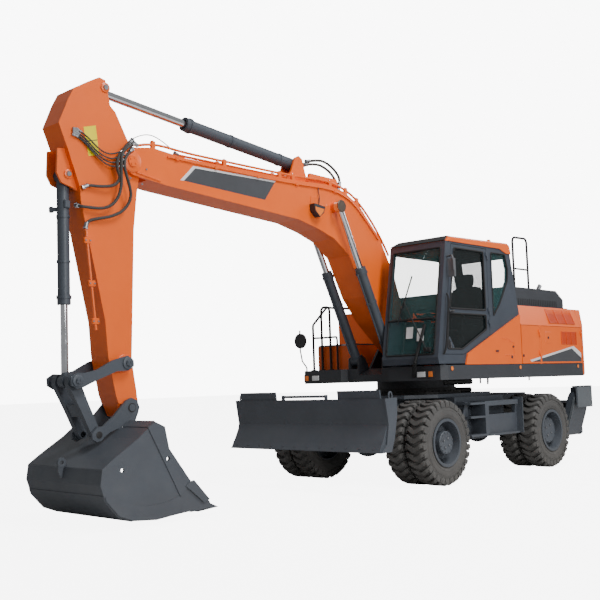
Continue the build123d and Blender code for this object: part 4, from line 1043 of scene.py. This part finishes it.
# cylinders: gland collars, middle bands, and the pipe that feeds the rod's end
cylinderTable = [
    # body, slot, foot, eye, y, barrel radius, barrel length, side of the pipe (0 is the far side), bands
    ("boom_barrels", "boom_cylinder_barrels", (0.850, 1.575), (1.777, 3.504), 0.240, 0.064, 1.300, -1,
     (0.20, 0.62)),
    ("boom_barrels", "boom_cylinder_barrels", (0.850, 1.575), (1.777, 3.504), -0.340, 0.064, 1.300, -1,
     (0.20, 0.62)),
    ("arm_barrel", "arm_cylinder_barrel", (2.300, 4.011), (5.170, 4.340), -0.050, 0.072, 1.745, 0,
     (0.14, 0.60)),
    ("bucket_barrel", "bucket_cylinder_barrel", (5.575, 3.400), (5.565, 1.385), -0.050, 0.060, 1.270, 0,
     (0.31, 0.66)),
]


def makeCylinderTrim():
    groups = defaultdict(bmesh.new)
    for body, slotName, foot, eye, y, radius, length, pipeSide, bands in cylinderTable:
        bm = groups[body, slotName]
        start, end = flat((foot, eye), y)
        way = (end - start).normalized()
        off = Vector((0, 1, 0)).cross(way) * -pipeSide if pipeSide else Vector((0, -1, 0))
        other = off.cross(way)
        inner = radius * 0.98
        addBand(bm, start + way * (length - 0.086), way, inner, radius * 1.1 + 0.007, 0.030)
        for angle in around(8):
            across = other * math.cos(angle) + off * math.sin(angle)
            addHex(bm, start + way * (length - 0.002) + across * (radius * 0.90), way, 0.008, 0.008)
        for share in bands:
            addBand(bm, start + way * length * share, way, inner, radius + 0.006, 0.026)
            spot = start + way * (length * share + 0.013) + off * (radius + 0.010)
            addBar(bm, spot - other * 0.024, spot + other * 0.024, 0.013, 8)
        low = start + way * (length * 0.10)
        high = start + way * (length - 0.060)
        root, knee, rest = off * radius * 0.9, off * (radius + 0.030), off * (radius + 0.022)
        line = [low + root, low + knee, low + rest + way * 0.08, high + rest - way * 0.08, high + knee,
                high + root]
        addTube(bm, line, 0.010, 8)
    # the port block on the bucket cylinder, with the elbow that its hose meets
    bm = groups["bucket_barrel", "bucket_cylinder_barrel"]
    addBlock(bm, at(5.535, -0.004, 3.070), at(5.600, 0.028, 3.150), 0.008)
    addBar(bm, at(5.612, -0.089, 3.065), at(5.653, -0.130, 3.065), 0.022, 12)
    addBar(bm, at(5.640, -0.120, 3.065), at(5.665, -0.145, 3.065), 0.032, 6)
    makeGroups(groups, "cylinder_trim", slate)


makeCylinderTrim()
print("hoses, pipes and cylinders made")

# under the deck: the dark casing beside the slew ring, black blocks that are partly real casing and partly
# painted shadow under the deck, its bolts and the drain pipes
bellySpec = {"upper": ((-0.620, -0.500, 1.205), (0.100, 0.550, 1.283)),
             "lower": ((-0.740, -0.350, 1.090), (-0.200, 0.450, 1.165)), "bolts": 36, "circle": 0.592,
             "flangeZ": 1.124}
drainTable = [(-0.250, 0.900, 1.215), (-0.400, 0.920, 1.200), (-0.440, 0.900, 1.225),
              (-1.900, 0.700, 1.230)]


def makeBelly(spec):
    bm = bmesh.new()
    # a black block under the deck: partly casing, partly painted shadow
    addBlock(bm, *run(spec["upper"]), 0.02)
    for x, y, z in drainTable:
        addBar(bm, at(x, y, z), at(x, y, 1.285), 0.012, 10)
    makePiece("deck_casing_and_shadow", bm, black, "upper")
    bm = bmesh.new()
    # a black block under the slew ring: partly casing, partly painted shadow
    addBlock(bm, *run(spec["lower"]), 0.02)
    for angle in around(spec["bolts"]):
        spot = at(spec["circle"] * math.cos(angle), spec["circle"] * math.sin(angle), spec["flangeZ"])
        addHex(bm, spot, (0, 0, 1), 0.016, 0.014)
    makePiece("ring_casing_and_shadow", bm, black, "chassis")


makeBelly(bellySpec)

# hood: side vents, the exhaust tip, rail feet and the counterweight's lamps
hoodSpec = {"ventX": (-0.980, -2.180), "vents": 24, "ventZ": (2.310, 2.400), "sides": (1.060, -1.060),
            "exhaust": [(-1.900, 0.930, 2.545), (-1.900, 0.930, 2.600), (-1.930, 0.950, 2.640)]}
railFeet = [(-1.300, 0.885, 2.560), (-1.700, 0.885, 2.560), (0.795, -1.190, 1.462), (0.722, -1.090, 1.462),
            (0.722, -0.930, 1.462), (-0.280, -1.190, 2.287)]
footProfile = [(0.016, 0.0), (0.046, 0.0), (0.046, 0.008), (0.024, 0.016), (0.016, 0.016)]


def makeHoodTrim(spec):
    (x0, x1), (z0, z1) = spec["ventX"], spec["ventZ"]
    for y, body, slotName in zip(spec["sides"], ("upper", "hood_lid"), ("hood_strip", "hood_lid")):
        bm = bmesh.new()
        side = math.copysign(1, y)
        for k in range(spec["vents"]):
            x = x0 + (x1 - x0) * k / (spec["vents"] - 1)
            addSideBlock(bm, side, (x - 0.011, abs(y) - 0.002, z0), (x + 0.011, abs(y) + 0.0015, z1))
        makePiece(f"hood_vents_{body}", bm, black, body, smooth=False)
    bm = bmesh.new()
    addTube(bm, run(spec["exhaust"]), 0.034, 12)
    makePiece("exhaust_tip", bm, steel, "upper")
    bm = bmesh.new()
    for spot in run(railFeet):
        addRing(bm, spot, (0, 0, 1), footProfile, 24)
    makePiece("rail_feet", bm, black, "upper")
    bm, lens = bmesh.new(), bmesh.new()
    for side in (1, -1):
        addSideBlock(bm, side, (-2.8475, 0.790, 1.600), (-2.822, 0.930, 1.700), 0.006, 2)
        addSideBlock(lens, side, (-2.8495, 0.802, 1.612), (-2.840, 0.918, 1.688), 0.002)
    # a small case on top of the counterweight
    addBlock(bm, at(-2.780, -0.040, 2.280), at(-2.700, 0.040, 2.335), 0.012, 2)
    makePiece("tail_lamp_cases", bm, plastic, "upper")
    makePiece("tail_lamps", lens, amberLens, "upper")


makeHoodTrim(hoodSpec)
print("hood and deck trim made")

# blade: facing plate, wear edge with its bolts, lifting loops and hinge bar
bladeSpec = {"half": 1.228, "bolts": 12, "boltX": 2.359, "boltZ": 0.535, "boltHalf": 1.13, "barX": 2.245,
             "barZ": 1.128, "barY": (-0.390, 0.330), "loopY": 1.240}
bladeFacing = [(2.219, 0.797), (2.2225, 0.7955), (2.3765, 0.4885), (2.366, 0.4885), (2.262, 0.578)]
bladeEdge = [(2.3765, 0.4885), (2.380, 0.4935), (2.336, 0.5835), (2.329, 0.582)]
bladeLoop = [(2.140, 1.085), (2.130, 1.140), (2.165, 1.175), (2.200, 1.140), (2.190, 1.085)]


def makeBladeTrim(spec):
    bm = bmesh.new()
    for outline in (bladeFacing, bladeEdge):
        addPlate(bm, flat(outline, -spec["half"]), (0, spec["half"] * 2, 0))
    for k in range(spec["bolts"]):
        y = spec["boltHalf"] * (2 * k / (spec["bolts"] - 1) - 1)
        addHex(bm, at(spec["boltX"], y, spec["boltZ"]), (0.894, 0, 0.448), 0.015, 0.006)
    for side in (1, -1):
        addTube(bm, flat(bladeLoop, side * spec["loopY"]), 0.010, 8)
    # the hinge bar lies along the top between the two raised plates
    x, z = spec["barX"], spec["barZ"]
    low, high = spec["barY"]
    addBar(bm, at(x, low, z), at(x, high, z), 0.016, 12)
    for y in (low, high):
        addBlock(bm, at(x - 0.020, y - 0.014, 1.080), at(x + 0.020, y + 0.014, z + 0.020), 0.003)
    makePiece("blade_trim", bm, slate, "blade")


# bucket: cutters and wear plates on the cheeks, a strip and a lifting eye on the back, webs under the ears
bucketSpec = {"cheek": 0.650, "shell": 0.630, "earIn": 0.164, "earOut": 0.187, "clear": 0.226,
              "hole": (4.845, 0.612), "holeRadius": 0.021, "eye": (5.612, 0.617), "eyeRadius": 0.046}
cutterTop = [(4.907, 0.6122), (5.079, 0.925), (4.992, 0.972), (4.877, 0.920), (4.829, 0.708),
             (4.755, 0.6122)]
cutterLow = [(4.755, 0.6118), (4.560, 0.360), (4.700, 0.236), (4.907, 0.6118)]
cheekWear = [(5.564, 0.327), (5.470, 0.300), (5.367, 0.269), (5.260, 0.228), (5.155, 0.200), (5.040, 0.190),
             (4.927, 0.194), (4.820, 0.212), (4.715, 0.243), (4.668, 0.150), (4.738, 0.075), (4.990, 0.053),
             (5.265, 0.077), (5.416, 0.137), (5.553, 0.283)]
sideTooth = [(4.640, 0.330), (4.592, 0.366), (4.533, 0.378), (4.336, 0.172), (4.412, 0.148), (4.560, 0.270)]
shellWear = [(5.265, 0.072), (5.420, 0.132), (5.560, 0.280), (5.579, 0.335), (5.5847, 0.333),
             (5.5651, 0.2769), (5.4240, 0.1270), (5.2672, 0.0664)]
topLip = [(5.065, 0.928), (4.985, 0.984), (4.968, 0.964), (5.045, 0.905)]
earWeb = [(4.842, 1.060), (4.935, 1.060), (5.030, 0.925), (4.893, 0.942)]
eyeFoot = [(5.545, 0.588), (5.650, 0.588), (5.652, 0.530), (5.622, 0.470), (5.604, 0.470), (5.592, 0.570)]


def makeBucketTrim(spec):
    bm = bmesh.new()
    holeX, holeZ = spec["hole"]
    arc = [(math.cos(math.pi * k / 8) * spec["holeRadius"], math.sin(math.pi * k / 8) * spec["holeRadius"])
           for k in range(9)]
    over = [(holeX - x, holeZ + 0.0002 + z) for x, z in arc]
    under = [(holeX + x, holeZ - 0.0002 - z) for x, z in arc]
    plates = ((cutterTop + over, 0.009), (cutterLow + under, 0.009), (cheekWear, 0.007), (sideTooth, 0.017))
    for side in (1, -1):
        for outline, thick in plates:
            addPlate(bm, flat(outline, boomY + side * (spec["cheek"] - 0.001)), (0, side * thick, 0))
        for outline, start, end in ((topLip, "clear", "shell"), (earWeb, "earIn", "earOut")):
            addPlate(bm, flat(outline, boomY + side * spec[start]),
                     (0, side * (spec[end] - spec[start]), 0))
    wide = spec["cheek"] - 0.004
    addPlate(bm, flat(shellWear, boomY - wide), (0, wide * 2, 0))
    addBar(bm, at(5.588, boomY - wide, 0.568), at(5.588, boomY + wide, 0.568), 0.006, 8)
    eyeX, eyeZ = spec["eye"]
    addBand(bm, at(eyeX, boomY - 0.014, eyeZ), (0, 1, 0), 0.019, spec["eyeRadius"], 0.028)
    addPlate(bm, flat(eyeFoot, boomY - 0.012), (0, 0.024, 0))
    makePiece("bucket_trim", bm, slate, "bucket")


# outriggers: pale facing on the foot, two ribs, collars on the pivot and a hose beside each leg
outriggerSpec = {"x": (-2.904, -2.426), "facing": ((1.168, 0.798), (1.198, 1.126)),
                 "cap": ((1.108, 1.096), (1.198, 1.126)), "ribX": (-2.890, -2.450),
                 "pivot": (-2.665, 0.930, 0.430), "collarX": (-0.262, 0.250)}
legRib = [(0.940, 0.395), (0.987, 0.410), (1.083, 0.700), (1.152, 0.960), (1.120, 0.960), (1.050, 0.720)]
legHose = [(-2.395, 0.380, 0.700), (-2.380, 0.640, 0.680), (-2.385, 0.830, 0.600), (-2.380, 0.850, 0.500),
           (-2.390, 0.800, 0.460)]


def makeOutriggerTrim(spec):
    x0, x1 = spec["x"]
    for name, side in sideTable:
        bm = bmesh.new()
        for (lowY, lowZ), (highY, highZ) in (spec["facing"], spec["cap"]):
            addSideBlock(bm, side, (x0, lowY, lowZ), (x1, highY, highZ), 0.012, 2)
        for x in spec["ribX"]:
            addPlate(bm, [at(x, side * y, z) for y, z in legRib], (0.010, 0, 0))
        x, y, z = spec["pivot"]
        for out in spec["collarX"]:
            addBar(bm, at(x + out, side * y, z), at(x + out + 0.012, side * y, z), 0.048, 20)
        makePiece(f"outrigger_trim_{name}", bm, palePaint, f"outrigger_{name}")
        bm = bmesh.new()
        addTube(bm, [at(x, side * y, z) for x, y, z in legHose], 0.010, 8)
        makePiece(f"outrigger_hose_{name}", bm, whiteFilm, "chassis")


makeBladeTrim(bladeSpec)
makeBucketTrim(bucketSpec)
makeOutriggerTrim(outriggerSpec)
print("blade, bucket and outrigger trim made")

# cab: seals round the panes, split bar, wiper, blank labels, roof visor, marker lamp and handles
cabSpec = {"y0": 0.332, "y1": 1.204, "sealRadius": 0.011, "splitZ": 2.050, "paneZ": (1.602, 2.948),
           "labels": ((0.745, 1.886, 0.073), (0.917, 1.853, 0.080))}
paneTable = [
    # body, slot, y, outline of the seal
    ("cab_door", "cab_door", 1.2045, [(0.700, 2.952), (0.020, 2.952), (0.020, 2.176), (0.846, 2.176)]),
    ("cab_door", "cab_door", 1.2045, [(0.880, 2.112), (0.020, 2.112), (0.020, 1.926), (0.600, 1.666),
                                      (0.930, 1.666)]),
    ("upper", "cab_shell", 1.2045, [(-0.170, 2.110), (-0.170, 2.960), (-0.520, 2.960), (-0.580, 2.760),
                                    (-0.560, 2.600), (-0.340, 2.280)]),
    ("upper", "cab_shell", 0.3315, [(0.980, 2.060), (0.840, 2.940), (-0.560, 2.940), (-0.690, 2.300),
                                    (-0.640, 2.200), (-0.100, 2.060)]),
]


def loopPoints(corners, inset):
    # points near each corner so that the smooth line keeps its straight runs
    points = []
    count = len(corners)
    for i in range(count):
        here, before, after = corners[i], corners[i - 1], corners[(i + 1) % count]
        back = (before - here).normalized() * inset
        ahead = (after - here).normalized() * inset
        points += [here + back * 1.6, here + back, here, here + ahead, here + ahead * 1.6]
    return points + [points[0], points[1]]


def makeSeals(spec):
    groups = defaultdict(bmesh.new)
    for body, slotName, y, outline in paneTable:
        addTube(groups[body, slotName], loopPoints(flat(outline, y), 0.045), spec["sealRadius"], 8, 3)
    makeGroups(groups, "window_seals", sealRubber)


makeSeals(cabSpec)


def frontX(z):
    # the raked front face of the cab
    return 1.142 - (z - 1.560) * (1.142 - 0.876) / (3.030 - 1.560)


def onFront(y, z, out):
    return at(frontX(z) + out, y, z)


def makeCabFront(spec):
    bm = bmesh.new()
    left, right = spec["y0"] + 0.062, spec["y1"] - 0.062
    addBar(bm, onFront(left, spec["splitZ"], 0.004), onFront(right, spec["splitZ"], 0.004), 0.014, 10)
    low, high = spec["paneZ"]
    corners = [onFront(y, z, 0.001) for y, z in ((left, low), (right, low), (right, high), (left, high))]
    addTube(bm, loopPoints(corners, 0.05), 0.012, 8, 3)
    # wiper: motor cover, arm and blade
    pivot = at(frontX(1.70) + 0.020, spec["y1"] - 0.16, 1.66)
    addLocalBlock(bm, pivot, (-0.02, -0.05, -0.03), (0.02, 0.05, 0.03), 0.008, 2)
    tip = onFront(spec["y0"] + 0.30, 2.30, 0.030)
    addTube(bm, [pivot + Vector((0.02, 0, 0)), pivot + Vector((0.032, -0.02, 0.05)), tip], 0.008, 6)
    addBar(bm, onFront(spec["y0"] + 0.22, 2.00, 0.018), onFront(spec["y0"] + 0.40, 2.62, 0.018), 0.009, 6)
    # the flat black bar from the foot of the windscreen down to the deck's front edge
    knee = at(1.160, 0.860, 1.500)
    addBar(bm, onFront(0.985, 1.98, 0.018), knee, 0.020, 8)
    addBar(bm, knee, at(1.036, 0.740, 1.330), 0.024, 8)
    makePiece("cab_front_trim", bm, sealRubber, "upper")
    bm = bmesh.new()
    # two blank labels on the low part of the windscreen
    for y, z, tall in spec["labels"]:
        turns = ((-0.052, -tall), (0.052, -tall), (0.052, tall), (-0.052, tall))
        addPlate(bm, [onFront(y + dy, z + dz, 0.004) for dy, dz in turns], (0.0012, 0, 0))
    makePiece("windscreen_labels", bm, whiteFilm, "upper", smooth=False)


def makeRoofTrim(spec):
    # the visor: a dark smooth panel over the roof, in a raked front part and a flat one
    bm = bmesh.new()
    y0, y1 = spec["y0"], spec["y1"]
    front = [(0.884, y0 - 0.002, 3.034), (0.884, y1 + 0.002, 3.034), (0.764, y1 - 0.05, 3.102),
             (0.764, y0 + 0.05, 3.102)]
    addPlate(bm, run(front), (0.004, 0, 0.006))
    rear = [(0.764, y0 + 0.05, 3.100), (0.764, y1 - 0.05, 3.100), (0.080, y1 - 0.12, 3.112),
            (0.080, y0 + 0.12, 3.112)]
    addPlate(bm, run(rear), (0, 0, 0.010))
    makePiece("roof_visor", bm, black, "upper", smooth=False)
    bm = bmesh.new()
    dome = [(0.0, 0.0), (0.030, 0.0), (0.028, 0.030), (0.018, 0.042), (0.0, 0.046)]
    addRing(bm, at(-0.30, y1 - 0.10, 3.118), (0, 0, 1), dome, 24)
    makePiece("roof_marker", bm, amberLens, "upper")


makeCabFront(cabSpec)
makeRoofTrim(cabSpec)

handleTable = [
    # body, slot, points of the tube, radius
    ("upper", "cab_shell", [(1.050, 1.226, 1.600), (1.050, 1.262, 1.620), (0.990, 1.262, 2.000),
                            (0.930, 1.262, 2.330), (0.930, 1.226, 2.350)], 0.013),
    ("cab_door", "cab_door", [(0.880, 1.206, 2.130), (0.880, 1.240, 2.135), (0.780, 1.240, 2.140),
                              (0.780, 1.206, 2.145)], 0.011),
    ("cab_door", "cab_door", [(0.060, 1.180, 2.060), (0.060, 1.150, 2.070), (0.500, 1.150, 2.080),
                              (0.500, 1.180, 2.090)], 0.012),
]


def makeHandles():
    groups = defaultdict(bmesh.new)
    for body, slotName, points, radius in handleTable:
        addTube(groups[body, slotName], run(points), radius, 8)
    makeGroups(groups, "handles", black)


makeHandles()

# the plate over the low front corner of the door's glass, with its recess and pull
doorHandleSpec = {"cornerY": 1.189, "recessY": 1.206}
doorCorner = [(0.935, 1.650), (0.922, 1.815), (0.872, 1.815), (0.800, 1.710), (0.760, 1.650)]
doorRecess = [(0.908, 1.670), (0.902, 1.780), (0.880, 1.780), (0.838, 1.700), (0.838, 1.670)]


def makeDoorHandle(spec):
    y = spec["recessY"]
    bm = bmesh.new()
    addPlate(bm, flat(doorCorner, spec["cornerY"]), (0, 0.0175, 0))
    makePiece("door_corner", bm, cabPaint, "cab_door", smooth=False)
    bm = bmesh.new()
    addPlate(bm, flat(doorRecess, y), (0, 0.0015, 0))
    makePiece("door_recess", bm, black, "cab_door", smooth=False)
    bm = bmesh.new()
    addBlock(bm, at(0.858, y, 1.676), at(0.872, y + 0.010, 1.742), 0.004, 2)
    addBar(bm, at(0.815, y, 1.668), at(0.815, y + 0.0045, 1.668), 0.009, 16)
    makePiece("door_pull", bm, steel, "cab_door")


makeDoorHandle(doorHandleSpec)
print("cab trim made")

# cab inside: padded seat, arm consoles, steering column and wheel, monitor
seatSpec = {"middleY": 0.768, "cushionX": (-0.160, 0.330), "cushionZ": (1.826, 1.938), "cushionHalf": 0.245,
            "backTop": 2.52, "backHalf": 0.225, "armY": 0.295, "pedalY": 0.11, "columnFoot": (0.820, 1.560),
            "columnTop": (0.700, 2.096), "wheelPlace": (0.690, 2.120), "wheelRadius": 0.178,
            "wheelGrip": 0.014, "screenPlace": (0.760, 2.160)}


def addPad(bm, low, high, crown, bevel, lean=0.0):
    # a cushion: a subdivided block with its faces pushed out and its edges rounded, leant about its low edge
    pad = bmesh.new()
    addBlock(pad, low, high)
    bmesh.ops.subdivide_edges(pad, edges=list(pad.edges), cuts=5, use_grid_fill=True)
    middle, half = (low + high) / 2, (high - low) / 2
    for vert in pad.verts:
        local = Vector(((vert.co.x - middle.x) / half.x, (vert.co.y - middle.y) / half.y,
                        (vert.co.z - middle.z) / half.z))
        pull = [1 - 0.5 * max(0.0, abs(local[(i + 1) % 3]) + abs(local[(i + 2) % 3]) - 1.1) ** 2 * bevel
                for i in range(3)]
        swell = [crown * (1 - local[(i + 1) % 3] ** 2) * (1 - local[(i + 2) % 3] ** 2) for i in range(3)]
        for i in range(3):
            local[i] = local[i] * pull[i] * (1 + swell[i])
        vert.co = middle + Vector((local.x * half.x, local.y * half.y, local.z * half.z))
    foot = Vector((middle.x, middle.y, low.z))
    bmesh.ops.rotate(pad, cent=foot, matrix=Matrix.Rotation(math.radians(lean), 3, "Y"),
                     verts=list(pad.verts))
    mesh = bpy.data.meshes.new("pad")
    pad.to_mesh(mesh)
    pad.free()
    bm.from_mesh(mesh)
    bpy.data.meshes.remove(mesh)


def makeSeat(spec):
    y = spec["middleY"]
    bm = bmesh.new()
    (x0, x1), (z0, z1), half = spec["cushionX"], spec["cushionZ"], spec["cushionHalf"]
    addPad(bm, at(x0, y - half, z0), at(x1, y + half, z1), 0.10, 0.5)
    half = spec["backHalf"]
    addPad(bm, at(-0.165, y - half, 1.915), at(-0.060, y + half, spec["backTop"]), 0.12, 0.5, -11)
    addPad(bm, at(-0.215, y - 0.12, 2.530), at(-0.140, y + 0.12, 2.700), 0.12, 0.6, -8)
    for side in (1, -1):
        armY = y + side * spec["armY"]
        addPad(bm, at(-0.060, armY - 0.036, 1.995), at(0.280, armY + 0.036, 2.058), 0.06, 0.6)
    seat = makePiece("operator_seat", bm, seatCloth, "upper", angle=60)
    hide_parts("cab_inside")


def makeConsoles(spec):
    y = spec["middleY"]
    bm = bmesh.new()
    addBlock(bm, at(-0.120, y - 0.180, 1.530), at(0.280, y + 0.180, 1.822), 0.02, 2)
    for side in (1, -1):
        armY, pedalY = y + side * spec["armY"], y + side * spec["pedalY"]
        addBlock(bm, at(-0.100, armY - 0.042, 1.700), at(0.440, armY + 0.042, 1.990), 0.018, 2)
        stick = at(0.370, armY, 1.985)
        addRing(bm, stick, (0, 0, 1), [(0.034, 0.0), (0.026, 0.030), (0.014, 0.052), (0.0, 0.055)], 20)
        addTube(bm, [stick + Vector((x, 0, z)) for x, z in ((0.0, 0.03), (0.004, 0.09), (0.0, 0.13))],
                0.013, 8)
        addLocalBlock(bm, stick, (-0.018, -0.016, 0.12), (0.020, 0.016, 0.185), 0.009, 2)
        addBlock(bm, at(0.560, pedalY - 0.035, 1.560), at(0.700, pedalY + 0.035, 1.580), 0.004)
    # steering column with its foot, head and two levers
    foot, top = flat((spec["columnFoot"], spec["columnTop"]), y)
    addBar(bm, foot, top, 0.052, 20, 0.040)
    addBlock(bm, at(0.760, y - 0.070, 1.526), at(0.880, y + 0.070, 1.580), 0.012, 2)
    addLocalBlock(bm, top, (-0.02, -0.075, -0.05), (0.08, 0.075, 0.015), 0.012, 2)
    for side in (1, -1):
        lever = ((0.02, 0.07, -0.02), (0.0, 0.14, 0.0), (-0.02, 0.20, 0.01))
        addTube(bm, [top + Vector((dx, side * dy, dz)) for dx, dy, dz in lever], 0.007, 6)
    # monitor on its stalk
    screen = at(spec["screenPlace"][0], y - 0.300, spec["screenPlace"][1])
    addLocalBlock(bm, screen, (-0.014, -0.090, -0.070), (0.020, 0.090, 0.075), 0.008, 2)
    stalk = [screen + Vector((0.01, 0, -0.05)), screen + Vector((0.06, 0, -0.25)), at(0.90, y - 0.30, 1.56)]
    addTube(bm, stalk, 0.015, 8)
    makePiece("cab_consoles", bm, plastic, "upper")


def makeSteeringWheel(spec):
    bm = bmesh.new()
    axis = Vector((-0.35, 0, 1)).normalized()
    centre = at(spec["wheelPlace"][0], spec["middleY"], spec["wheelPlace"][1])
    grip = spec["wheelGrip"]
    rim = [(spec["wheelRadius"] + grip * math.cos(angle), grip * math.sin(angle)) for angle in around(12)]
    addRing(bm, centre, axis, rim, 48)
    addRing(bm, centre, axis, [(0.0, -0.03), (0.055, -0.025), (0.050, 0.014), (0.0, 0.018)], 32)
    across = Vector((0, 1, 0))
    ahead = axis.cross(across)
    for way in (across, -across, ahead):
        addBar(bm, centre + way * 0.04, centre + way * 0.170, 0.012, 8)
    knob = centre + across * 0.10 + ahead * 0.14
    addBar(bm, knob, knob + axis * 0.05, 0.016, 12)
    makePiece("steering_wheel", bm, sealRubber, "upper")


makeSeat(seatSpec)
makeConsoles(seatSpec)
makeSteeringWheel(seatSpec)
print("cab inside made")
